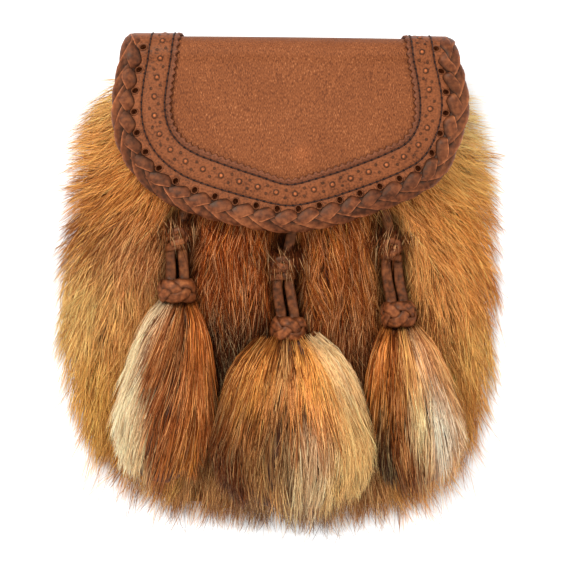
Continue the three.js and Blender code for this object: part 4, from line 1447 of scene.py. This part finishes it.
def growPouchFur():
    chance = np.random.default_rng(21)
    roots = scatterRoots(furLook["locks"], chance)
    x, y = roots.T
    locks = len(roots)
    length = furLook["length"] * np.exp(chance.normal(0, furLook["lengthSpread"], locks))
    length *= np.interp(y / mm, [-110, -60, 20, 90], [1.15, 1.1, 1.0, 0.9])
    lift = np.abs(chance.normal(0, furLook["lockLift"], locks))
    lines = lockLines(x, y, length, chance.normal(0, math.radians(furLook["lockTurn"]), locks), lift)
    # a lock ends a little past the outline, further along the sides and at the bottom's corners
    past = outside(lines[:, :, 0], lines[:, :, 1])
    low = share(y, -20 * mm, -90 * mm)
    corner = low * share(np.abs(x - 8 * mm), 26 * mm, 44 * mm)
    beside = share(np.abs(x), 50 * mm, 70 * mm)
    allowed = chance.exponential(1, locks) * (1.6 + 1.4 * low) + 2 * corner + 3.4 * beside
    allowed = (allowed - 1.2 * low * (1 - corner)) * mm
    steps = np.arange(lines.shape[1]) / (lines.shape[1] - 1)
    ends = np.where(past <= allowed[:, None], steps, 0).max(1).clip(0.3, 1)
    lockShade = chance.normal(0, furLook["lockShade"], locks)
    table = np.stack(columns(furPatches, "x", "y", "r"), 1) * mm
    patchColours = linearRows([p["tint"] for p in furPatches])
    for kind in ("long", "short"):
        hairs = furLook[kind]["hairs"]
        lockOf = chance.integers(0, locks, hairs)
        turn, far = chance.uniform(0, math.tau, hairs), np.sqrt(chance.random(hairs)) * furLook["lockRadius"]
        shift = np.stack([np.cos(turn) * far, np.sin(turn) * far], 1)
        lengthShare = ends[lockOf] * np.clip(chance.normal(*furLook["share"], hairs), 0.4, 1.25)
        wisp = chance.random(hairs) < furLook["wispShare"] + furLook["lowWisps"] * low[lockOf]
        longer = chance.uniform(*furLook["wispLength"], hairs)
        lengthShare = np.where(wisp, lengthShare * longer, lengthShare)
        gather = np.clip(chance.normal(*furLook["gather"], hairs), 0, 0.9)
        wander = chance.normal(0, furLook["wander"], (hairs, 3)) * (1, 1, 0.6)
        rootSpots = lines[lockOf, 0, :2] + shift
        paths = growLocks(kind, lines[lockOf], shift, lengthShare, gather, hideHeight(*rootSpots.T), wander)
        paths[..., 2] = np.clip(paths[..., 2], 0.5 * mm, ceiling(paths[..., 0], paths[..., 1]))
        middle = paths[:, len(hair[kind]["rings"]) // 2 + 1]
        base = patchTint(table, middle[:, 0], middle[:, 1], patchColours)
        tints, strong = tintHairs(kind, base, chance, lockShade[lockOf], furTone)
        shade = shadeNear(paths[..., 0].ravel(), paths[..., 1].ravel())
        tints = tints * shade.reshape(tints.shape[:2])[..., None]
        thickness = furLook[kind]["thickness"] * np.where(wisp, furLook["wispThickness"], 1)
        thickness = thickness * chance.uniform(0.75, 1.2, hairs) * strong
        for k in range(0, hairs, hair["perPiece"]):
            part = slice(k, k + hair["perPiece"])
            name = f"fur_{kind}_hair_{k // hair['perPiece'] + 1}"
            hairPiece(name, kind, paths[part], thickness[part], tints[part], hairMaterial,
                      ["fur_pouch"])


def makeHide():
    # a smooth dark skin under the hair
    rows, across = 48, 44
    sines = np.sin(np.linspace(-math.pi / 2, math.pi / 2, across))
    top, low = [], []
    for y in np.linspace(-104 * mm, 97 * mm, rows):
        left, right = np.interp(y, rowY, rowLeft), np.interp(y, rowY, rowRight)
        x = (left + right) / 2 + ((right - left) / 2 - furLook["inset"]) * sines
        dx = np.abs(x - leather["middle"])
        # hollow underneath, to clear the leather back
        overBack = dx < np.interp(y, panelY, panelHalf, left=0) + 2 * mm
        clear = np.where(overBack, leather["thick"] + 0.9 * mm, 0.8 * mm)
        clear = clear + backBow(x - leather["middle"], np.full(across, y))
        z = np.maximum(hideHeight(x, np.full(across, y)), clear + 0.4 * mm)
        top.append(np.stack([x, np.full(across, y), z], 1))
        low.append(np.stack([x, np.full(across, y), clear], 1))
    under = rows * across
    faces = []
    for i in range(rows - 1):
        for j in range(across - 1):
            a, c = i * across + j, (i + 1) * across + j
            faces += [[a, a + 1, c + 1, c], [under + a, under + c, under + c + 1, under + a + 1]]
    for j in range(across - 1):
        last = (rows - 1) * across + j
        faces += [[j, under + j, under + j + 1, j + 1], [last, last + 1, under + last + 1, under + last]]
    for i in range(rows - 1):
        a, b = i * across, i * across + across - 1
        faces += [[a, a + across, under + a + across, under + a]]
        faces += [[b, under + b, under + b + across, b + across]]
    meshPiece("fur_hide", np.array(top + low).reshape(-1, 3), faces, hideSkin, ["fur_pouch"])


makeHide()
growPouchFur()
print("the pouch's fur is grown")


# Tassels

# Each tassel's neck and tip, its size and its hairs; shoulder widens its neck, fan spreads its hair and
# sweep turns the hair in front sideways
tassels = [
    {"side": "left", "neck": (-45, -10.6), "tip": (-54.5, -95), "width": 41, "thick": 19, "hairs": 3700,
     "shoulder": 0.03, "fan": 0.05, "sweep": -0.3},
    {"side": "centre", "neck": (5.2, -27.2), "tip": (10.5, -106), "width": 69, "thick": 23, "hairs": 5400,
     "shoulder": 0.07, "fan": 0.16, "sweep": -0.06},
    {"side": "right", "neck": (56.5, -20.6), "tip": (68.5, -95), "width": 39, "thick": 19, "hairs": 3400,
     "shoulder": 0.05, "fan": 0.06, "sweep": -0.1},
]
tasselProfile = [
    {"along": 0, "wide": 0.38, "deep": 0.6},
    {"along": 0.06, "wide": 0.58, "deep": 0.75},
    {"along": 0.18, "wide": 0.74, "deep": 0.9},
    {"along": 0.38, "wide": 0.87, "deep": 1},
    {"along": 0.62, "wide": 1, "deep": 0.95},
    {"along": 0.8, "wide": 0.94, "deep": 0.75},
    {"along": 0.93, "wide": 0.7, "deep": 0.5},
    {"along": 1, "wide": 0.3, "deep": 0.25},
]
profileAlong, profileWide, profileDeep = columns(tasselProfile, "along", "wide", "deep")
tasselLook = {
    "thickness": 0.29 * mm,
    "hairsPerLock": 9,
    "length": (24, 38),  # millimetres
    "lockTurn": 115,  # degrees round from the front
    "drift": 0.12, "lockRadius": 2.2 * mm, "lockShade": 0.2,
    "flare": 1.8 * mm,  # how far the side hairs stand off
    "stop": 1.06, "sideStop": 0.34,  # where the hair ends along the tassel, and how much sooner at its sides
    "share": (0.92, 0.14),  # a hair's share of its lock's length: mean and spread
    "gather": (0.42, 0.2),
    "wander": 1.1 * mm,
    "highest": 44 * mm,
    # the hair's own width and depth where the core closes, at these places along
    "closing": {"along": (0.8, 1, 1.2), "wide": (0.92, 0.68, 0.45), "deep": (0.8, 0.5, 0.35)},
    "sink": 30 * mm,  # how fast the hair falls past the core
    "inset": 2.5 * mm,  # from the outer form to the hair's roots
    "coreInset": 4 * mm, "coreLow": 3 * mm, "coreRings": 22, "coreSides": 24,
}
# How its hairs vary, as for the pouch's fur
tasselTone = {
    "spread": 0.4, "hue": 0.06, "most": 0.97,
    "darkShare": 0.26, "dark": (0.36, 0.24, 0.18),
    "paleShare": 0.26, "pale": 1.3, "paleAdd": (0.22, 0.18, 0.085),
    "root": (0.52, 0.42, 0.36), "low": (0.9, 0.87, 0.85), "tip": (1.08, 1.16, 1.16),
}
# Patches of each tassel's colour: across from -1 to 1, along from 0 at the neck to 1, radius and tint
tasselPatches = {
    "left": [
        {"x": -0.45, "y": 0.02, "r": 0.12, "tint": (238, 214, 172)},
        {"x": -0.92, "y": 0.15, "r": 0.16, "tint": (236, 212, 170)},
        {"x": -0.98, "y": 0.35, "r": 0.14, "tint": (232, 208, 164)},
        {"x": -0.92, "y": 0.57, "r": 0.2, "tint": (255, 234, 190)},
        {"x": -0.78, "y": 0.78, "r": 0.25, "tint": (255, 238, 196)},
        {"x": -0.62, "y": 0.97, "r": 0.25, "tint": (246, 208, 148)},
        {"x": 0.1, "y": 0.12, "r": 0.2, "tint": (176, 106, 54)},
        {"x": -0.35, "y": 0.3, "r": 0.22, "tint": (160, 92, 46)},
        {"x": 0.7, "y": 0.25, "r": 0.25, "tint": (196, 112, 50)},
        {"x": 0.2, "y": 0.35, "r": 0.18, "tint": (124, 68, 36)},
        {"x": -0.2, "y": 0.55, "r": 0.25, "tint": (170, 96, 50)},
        {"x": 0.35, "y": 0.6, "r": 0.25, "tint": (178, 102, 52)},
        {"x": 0.85, "y": 0.6, "r": 0.22, "tint": (172, 94, 44)},
        {"x": 0.0, "y": 0.85, "r": 0.2, "tint": (156, 76, 24)},
        {"x": 0.6, "y": 0.9, "r": 0.22, "tint": (178, 106, 38)},
    ],
    "centre": [
        {"x": -0.55, "y": 0.12, "r": 0.2, "tint": (226, 152, 70)},
        {"x": -0.05, "y": 0.05, "r": 0.15, "tint": (128, 84, 48)},
        {"x": 0.35, "y": 0.13, "r": 0.17, "tint": (246, 170, 80)},
        {"x": 0.85, "y": 0.1, "r": 0.22, "tint": (252, 222, 176)},
        {"x": -0.05, "y": 0.25, "r": 0.15, "tint": (176, 118, 66)},
        {"x": -0.6, "y": 0.38, "r": 0.22, "tint": (176, 108, 54)},
        {"x": 0.5, "y": 0.3, "r": 0.2, "tint": (246, 178, 92)},
        {"x": 0.9, "y": 0.36, "r": 0.2, "tint": (250, 206, 138)},
        {"x": 0.1, "y": 0.45, "r": 0.18, "tint": (200, 122, 60)},
        {"x": -0.8, "y": 0.65, "r": 0.24, "tint": (114, 56, 24)},
        {"x": -0.2, "y": 0.65, "r": 0.22, "tint": (104, 58, 30)},
        {"x": 0.4, "y": 0.52, "r": 0.17, "tint": (196, 112, 54)},
        {"x": 0.85, "y": 0.62, "r": 0.25, "tint": (250, 206, 136)},
        {"x": 0.32, "y": 0.76, "r": 0.18, "tint": (234, 204, 160)},
        {"x": -0.4, "y": 0.9, "r": 0.2, "tint": (208, 152, 90)},
        {"x": 0, "y": 1.0, "r": 0.2, "tint": (232, 194, 140)},
        {"x": 0.7, "y": 0.88, "r": 0.22, "tint": (240, 198, 128)},
    ],
    "right": [
        {"x": -0.8, "y": 0.2, "r": 0.25, "tint": (206, 120, 52)},
        {"x": 0.0, "y": 0.1, "r": 0.2, "tint": (208, 146, 78)},
        {"x": 0.7, "y": 0.2, "r": 0.25, "tint": (204, 132, 62)},
        {"x": -0.45, "y": 0.4, "r": 0.2, "tint": (172, 96, 40)},
        {"x": 0.2, "y": 0.35, "r": 0.2, "tint": (222, 152, 78)},
        {"x": 0.85, "y": 0.42, "r": 0.2, "tint": (214, 152, 86)},
        {"x": -0.8, "y": 0.6, "r": 0.27, "tint": (70, 36, 16)},
        {"x": 0.18, "y": 0.6, "r": 0.22, "tint": (255, 238, 180)},
        {"x": 0.58, "y": 0.64, "r": 0.28, "tint": (255, 248, 226)},
        {"x": -0.3, "y": 0.85, "r": 0.2, "tint": (160, 94, 48)},
        {"x": 0.3, "y": 0.9, "r": 0.2, "tint": (206, 140, 76)},
        {"x": 0.85, "y": 0.9, "r": 0.2, "tint": (220, 160, 92)},
    ],
}


def restOn(x, y, reach, rise):
    # how high the lowest line of a round section lies when it rests on the fur
    offsets = np.linspace(-reach, reach, 13)
    return max(0, np.max(formHeight(x + offsets, np.full(13, y)) - rise(np.abs(offsets))))


def tasselAxis(row, t):
    # the tassel's axis in plan
    return [(row["neck"][k] + (row["tip"][k] - row["neck"][k]) * t) * mm for k in range(2)]


def tasselSlope(row):
    # how far the tassel's cross-sections are turned, so that they stand square to it
    return (row["tip"][0] - row["neck"][0]) / (row["neck"][1] - row["tip"][1])


def tasselMiddles(row):
    # height of the tassel's axis at the profile's stations
    heights = []
    for station in tasselProfile:
        x, y = tasselAxis(row, station["along"])
        half, deep = station["wide"] * row["width"] / 2 * mm, station["deep"] * row["thick"] / 2 * mm
        lift = restOn(x, y, half, lambda d: deep * (1 - np.sqrt(np.maximum(0, 1 - (d / half) ** 2))))
        heights.append(lift + 1 * mm + deep)
    return np.array(heights)


def onTassel(row, middles, t, around, raised):
    # a point of the tassel: t along it, around from the front, raised over its hair's roots
    closing = tasselLook["closing"]
    along = [*profileAlong[:5], *closing["along"]]
    hairWide = np.interp(t, along, [*profileWide[:5], *closing["wide"]])
    hairWide = hairWide + row["shoulder"] * (1 - np.clip(t, 0, 1))
    hairDeep = np.interp(t, along, [*profileDeep[:5], *closing["deep"]])
    middle = np.interp(t, profileAlong, middles) - np.maximum(t - 1, 0) * tasselLook["sink"]
    half = hairWide * row["width"] / 2 * mm - tasselLook["inset"] + raised
    thick = hairDeep * row["thick"] / 2 * mm - tasselLook["inset"] + raised
    out = half * np.sin(around)
    x, y = tasselAxis(row, t)
    return np.stack([x + out, y + out * tasselSlope(row), middle + thick * np.cos(around)], -1)


def growTassel(row, middles, seed):
    chance = np.random.default_rng(seed)
    size = math.dist(row["neck"], row["tip"]) * mm
    locks, hairs = row["hairs"] // tasselLook["hairsPerLock"], row["hairs"]
    # more locks start near the neck
    start = -0.03 + 0.89 * chance.random(locks) ** 1.35
    around = np.radians(chance.uniform(-tasselLook["lockTurn"], tasselLook["lockTurn"], locks))
    length = chance.uniform(*tasselLook["length"], locks) * mm / size
    drift = chance.normal(0, tasselLook["drift"], locks) + row["fan"] * np.sin(around)
    drift = drift + row["sweep"] * np.cos(around) ** 2
    flare = tasselLook["flare"] * np.abs(np.sin(around)) * chance.uniform(0.2, 1.3, locks)
    stop = tasselLook["stop"] - tasselLook["sideStop"] * np.abs(np.sin(around)) ** 2.5
    stop = stop + chance.normal(0, 0.03, locks) + chance.exponential(0.025, locks)
    ends = np.clip((stop - start) / length, 0.3, 1)
    lift = np.abs(chance.normal(0, 1 * mm, locks))
    line = []
    for k in np.linspace(0, 1, hair["pointsAlong"]):
        t = start + length * ends * k
        raised = (0.3 + 2.2 * (1 - (1 - k) ** 1.8)) * mm + lift * k + flare * k ** 2 * share(t, 0.3, 0.7)
        line.append(onTassel(row, middles, t, around + drift * k, raised))
    lines = np.stack(line, 1)
    lockOf = chance.integers(0, locks, hairs)
    turn, far = chance.uniform(0, math.tau, hairs), np.sqrt(chance.random(hairs)) * tasselLook["lockRadius"]
    shift = np.stack([np.cos(turn) * far, np.sin(turn) * far], 1)
    lengthShare = np.clip(chance.normal(*tasselLook["share"], hairs), 0.5, 1.3)
    gather = np.clip(chance.normal(*tasselLook["gather"], hairs), 0, 0.9)
    wander = chance.normal(0, tasselLook["wander"], (hairs, 3)) * (1, 1, 0.6)
    rootHeights = lines[lockOf, 0, 2] - 0.5 * mm
    paths = growLocks("long", lines[lockOf], shift, lengthShare, gather, rootHeights, wander)
    paths[..., 2] = np.clip(paths[..., 2], 0.5 * mm, tasselLook["highest"])
    table = tasselPatches[row["side"]]
    places = np.stack(columns(table, "x", "y", "r"), 1)
    spotX = np.sin(around + drift / 2)[lockOf] + chance.normal(0, 0.04, hairs)
    spotY = (start + length * ends * 0.6)[lockOf]
    base = patchTint(places, spotX, spotY, linearRows([p["tint"] for p in table]))
    lockShade = chance.normal(0, tasselLook["lockShade"], locks)
    tints, strong = tintHairs("long", base, chance, lockShade[lockOf], tasselTone)
    thickness = tasselLook["thickness"] * chance.uniform(0.75, 1.2, hairs) * strong
    name = f"tassel_{row['side']}"
    hairPiece(f"{name}_hair", "long", paths, thickness, tints, tasselHairMaterial, [name])


def makeTasselCore(row, middles):
    # the skin that the tassel's hair grows from, out of sight under it
    sides = tasselLook["coreSides"]
    turns = np.arange(sides) / sides * math.tau
    rings = []
    for t in np.linspace(0, 0.98, tasselLook["coreRings"]):
        wide = np.interp(t, profileAlong, profileWide) + row["shoulder"] * (1 - t)
        deep = np.interp(t, profileAlong, profileDeep)
        half = max(wide * row["width"] / 2 * mm - tasselLook["coreInset"], 1 * mm)
        thick = max(deep * row["thick"] / 2 * mm - tasselLook["coreLow"], 0.6 * mm)
        x, y = tasselAxis(row, t)
        z = np.interp(t, profileAlong, middles) + thick * np.sin(turns)
        out = half * np.cos(turns)
        rings.append(np.stack([x + out, y + out * tasselSlope(row), z], 1))
    faces = [face[::-1] for face in sweptFaces(len(rings), sides)]
    name = f"tassel_{row['side']}"
    meshPiece(f"{name}_core", np.vstack(rings), faces, hideSkin, [name])


for seed, row in enumerate(tassels):
    middles = tasselMiddles(row)
    growTassel(row, middles, 40 + seed)
    makeTasselCore(row, middles)
print("the tassels are grown")


# Hitches and plaited knots on the thongs

knots = [
    {"side": "left", "x": -45.6, "y": -4.5, "radius": 9.2, "length": 11, "turn": 0.03, "phase": 0.4},
    {"side": "centre", "x": 5.4, "y": -21.4, "radius": 8.6, "length": 11.5, "turn": -0.03, "phase": 0.9},
    {"side": "right", "x": 55.6, "y": -14, "radius": 8.5, "length": 12, "turn": 0.06, "phase": 0.1},
]
knotLook = {
    "thong": 5.1 * mm, "thick": 1.3 * mm, "points": 240, "sides": 8, "power": 0.8,
    "leads": 3, "bights": 5,
    "flat": 0.85,  # its depth as a share of its width
    "weave": 0.6 * mm,  # how far a lead rises over another
    "broad": 1.45,  # how broadly it turns at a bight
    "edge": 2.2 * mm,  # from the knot's end to the bights' middle line
    "bright": 1.25, "coreTint": 0.2, "coreSides": 28,
    # the core's form: along and out, as shares
    "coreAlong": (-1, -0.98, -0.8, -0.4, 0, 0.4, 0.8, 0.98, 1),
    "coreOut": (0.3, 0.6, 0.76, 0.85, 0.88, 0.85, 0.76, 0.6, 0.3),
}


def knotMiddle(row):
    # height of the knot's axis, resting on the hair as the tassel's neck does
    radius, half, flat = row["radius"] * mm, row["length"] / 2 * mm, knotLook["flat"]
    rise = lambda d: flat * (radius - np.sqrt(np.maximum(0, radius ** 2 - d ** 2)))
    lift = max(restOn(row["x"] * mm, row["y"] * mm + dy, radius, rise) for dy in (-half, 0, half))
    return lift + 0.6 * mm + flat * radius


def plaitKnot(row, chance):
    # three leads and five bights of flat thong round a plain core
    radius, half = row["radius"] * mm - 1.2 * mm, row["length"] / 2 * mm
    count, sides = knotLook["points"], knotLook["sides"]
    tau = np.arange(count) / count * math.tau
    weave = 2 * knotLook["bights"] * tau
    angle = knotLook["leads"] * tau + row["phase"]
    # a lead crosses the middle steeply and turns broadly at its bights
    broad = knotLook["broad"]
    along = np.sin(broad * np.cos(knotLook["bights"] * tau)) / math.sin(broad)
    along = (half - knotLook["edge"]) * along

    def place(r, angle, y):
        c, s = math.cos(row["turn"]), math.sin(row["turn"])
        x, z = r * np.sin(angle), knotLook["flat"] * r * np.cos(angle)
        return np.stack([x * c - y * s, x * s + y * c, z], -1)

    middle = np.array([row["x"] * mm, row["y"] * mm, knotMiddle(row)])
    belly = np.sqrt(1 - 0.5 * (along / half) ** 2)
    path = place(radius * belly + knotLook["weave"] * np.sin(weave), angle, along)
    outward = unit(place(np.ones(count), angle, 0.75 * along / half))
    tangents = unit(np.roll(path, -1, 0) - np.roll(path, 1, 0))
    normals = unit(outward - (outward * tangents).sum(1, keepdims=True) * tangents)
    across = np.cross(tangents, normals)
    c, s = sectionTurn(sides, knotLook["power"])
    rings = (path[:, None] + across[:, None] * (c * knotLook["thong"] / 2)[None, :, None]
             + normals[:, None] * (s * knotLook["thick"] / 2)[None, :, None])
    # painted shade: darker where a lead passes under another, lighter where it rises over, and darker along
    # its edges
    shade = np.repeat(1.12 + 0.16 * np.sin(weave) + chance.normal(0, 0.03, count), sides)
    side = np.tile(1 - 0.6 * np.abs(c) ** 5, count)
    tint = (shade * side)[:, None] * np.full(3, knotLook["bright"])
    coreSides = knotLook["coreSides"]
    ys = np.array(knotLook["coreAlong"]) * half * 0.92
    rs = np.array(knotLook["coreOut"]) * radius
    around = np.arange(coreSides) / coreSides * math.tau
    core = [place(np.full(coreSides, r), around, np.full(coreSides, y)) for y, r in zip(ys, rs)]
    coreFaces = [face[::-1] for face in sweptFaces(len(ys), coreSides)]
    shapes = [(rings.reshape(-1, 3) + middle, loopFaces(count, sides)),
              (np.vstack(core) + middle, coreFaces)]
    tints = [tint, np.full(3, knotLook["coreTint"])]
    joinedPiece(f"plaited_knot_{row['side']}", shapes, thongLeather, [f"knot_{row['side']}"], tints)


# Each hitch: where it lies, its size, its wraps (height, tilt, width, growth) and the loop over them
hitches = [
    {"side": "left", "x": -46.2, "y": 18.6, "wide": 11, "thick": 8,
     "wraps": [(-2.9, 0.14, 3.9, 1.0), (0.6, -0.12, 3.3, 0.92)],
     "bight": [(-2.6, 0.2, 2.0), (-1.6, 3.2, 2.6), (1.4, 4.6, 2.9), (4.0, 2.8, 2.7), (3.8, 0.2, 2.6),
               (1.2, -0.8, 3.2), (-2.2, -1.8, 3.0)]},
    {"side": "centre", "x": 2.4, "y": 5.6, "wide": 11.5, "thick": 8,
     "wraps": [(-3.3, 0.1, 3.4, 1.02), (-0.2, 0.12, 3.2, 1.06)],
     "bight": [(-3.6, 0.6, 1.8), (-3.4, 3.4, 2.4), (-0.8, 5.0, 3.0), (2.4, 4.4, 3.0), (3.6, 1.8, 2.6),
               (1.0, 1.2, 3.3), (-2.6, 2.4, 3.0)]},
    {"side": "right", "x": 52.2, "y": 14.6, "wide": 10.5, "thick": 8,
     "wraps": [(-2.6, -0.14, 3.6, 1.0), (0.5, 0.16, 3.2, 1.0)],
     "bight": [(-3.2, -0.6, 1.8), (-3.2, 2.6, 2.4), (-0.6, 4.7, 2.9), (2.4, 4.0, 2.9), (3.4, 1.2, 2.6),
               (0.8, -0.6, 3.3), (-2.0, -2.6, 2.8)]},
]
wrap = {"thick": 1.7 * mm, "points": 49, "sides": 10, "power": 0.75, "bightWidth": 3.2 * mm,
        "shade": 1.15, "bightShade": 1.2}


def tieHitch(row, chance):
    # the thong wound twice round its own runs, with a bight over the top
    x, y = row["x"] * mm, row["y"] * mm
    outer, thick = row["wide"] / 2 * mm, row["thick"] / 2 * mm
    half = outer - 0.9 * mm
    rise = lambda d: thick * (1 - np.sqrt(np.maximum(0, 1 - (d / outer) ** 2)))
    z = restOn(x, y, outer, rise) + thick
    knotTop[row["side"]] = z + thick
    turns = np.linspace(0, math.tau, wrap["points"])
    shapes, tints = [], []
    for dy, tilt, wide, grow in row["wraps"]:
        ring = np.stack([x + half * grow * np.sin(turns),
                         y + dy * mm + half * tilt * np.sin(turns) + 0.3 * mm * np.cos(turns),
                         z - 0.4 * mm + (thick - 0.9 * mm) * grow * np.cos(turns)], 1)
        out = np.stack([np.sin(turns), np.zeros(len(turns)), np.cos(turns)], 1)
        shapes.append(strip(ring, out, wide * mm, wrap["thick"], wrap["sides"], wrap["power"]))
        tints.append(thongTint(wrap["points"], wrap["sides"], chance, wrap["shade"]))
    path = roundRoute(np.array(row["bight"]) * mm + (x, y, z), wrap["points"])
    facing = np.tile([0.0, 0.15, 1.0], (wrap["points"], 1))
    shapes.append(strip(path, facing, wrap["bightWidth"], wrap["thick"], wrap["sides"], wrap["power"]))
    tints.append(thongTint(wrap["points"], wrap["sides"], chance, wrap["bightShade"]))
    joinedPiece(f"thong_hitch_{row['side']}", shapes, thongLeather, [f"hitch_{row['side']}"], tints)


strays = {
    "hairs": 130, "length": 15 * mm, "thickness": 0.32 * mm,
    "spread": 5.5 * mm, "above": 8.5 * mm,
    "lean": 12, "leanSpread": 16,  # degrees from straight down, towards the middle
    "wander": 0.8 * mm,
    "tint": (112, 58, 26),
}


def growStrays(row, chance):
    # hair that lies over the upper part of a hitch
    count = strays["hairs"]
    x = row["x"] * mm + chance.normal(0, strays["spread"], count)
    y = row["y"] * mm + strays["above"] + chance.normal(0, 2 * mm, count)
    top = knotTop[row["side"]] + chance.uniform(0.1 * mm, 1.6 * mm, count)
    lean = strays["lean"] * np.sign(4 - row["x"])
    drift = np.radians(chance.normal(lean, strays["leanSpread"], count) * 0.8)
    length = strays["length"] * chance.uniform(0.5, 1.1, count)
    lines = []
    for k in np.linspace(0, 1, hair["pointsAlong"]):
        far = length * k
        # up out of the fur and down over the hitch
        z = top - 3.2 * mm * (1 - k) ** 2 - 1.5 * mm * k
        lines.append(np.stack([x + np.sin(drift) * far, y - far * np.cos(drift), z], 1))
    lines = np.stack(lines, 1)
    wander = chance.normal(0, strays["wander"], (count, 3))
    paths = growLocks("short", lines, np.zeros((count, 2)), np.ones(count), np.zeros(count), lines[:, 0, 2],
                      wander)
    base = np.tile(linearRows([strays["tint"]]), (count, 1))
    tints, strong = tintHairs("short", base, chance, np.zeros(count), furTone)
    hairPiece(f"stray_hair_{row['side']}", "short", paths, strays["thickness"] * strong, tints, hairMaterial,
              ["fur_pouch"])


knotTop = {}  # how high each hitch stands
knotChance = np.random.default_rng(15)
for row in knots:
    plaitKnot(row, knotChance)
for row in hitches:
    tieHitch(row, knotChance)
    growStrays(row, knotChance)
print("the thongs are knotted")
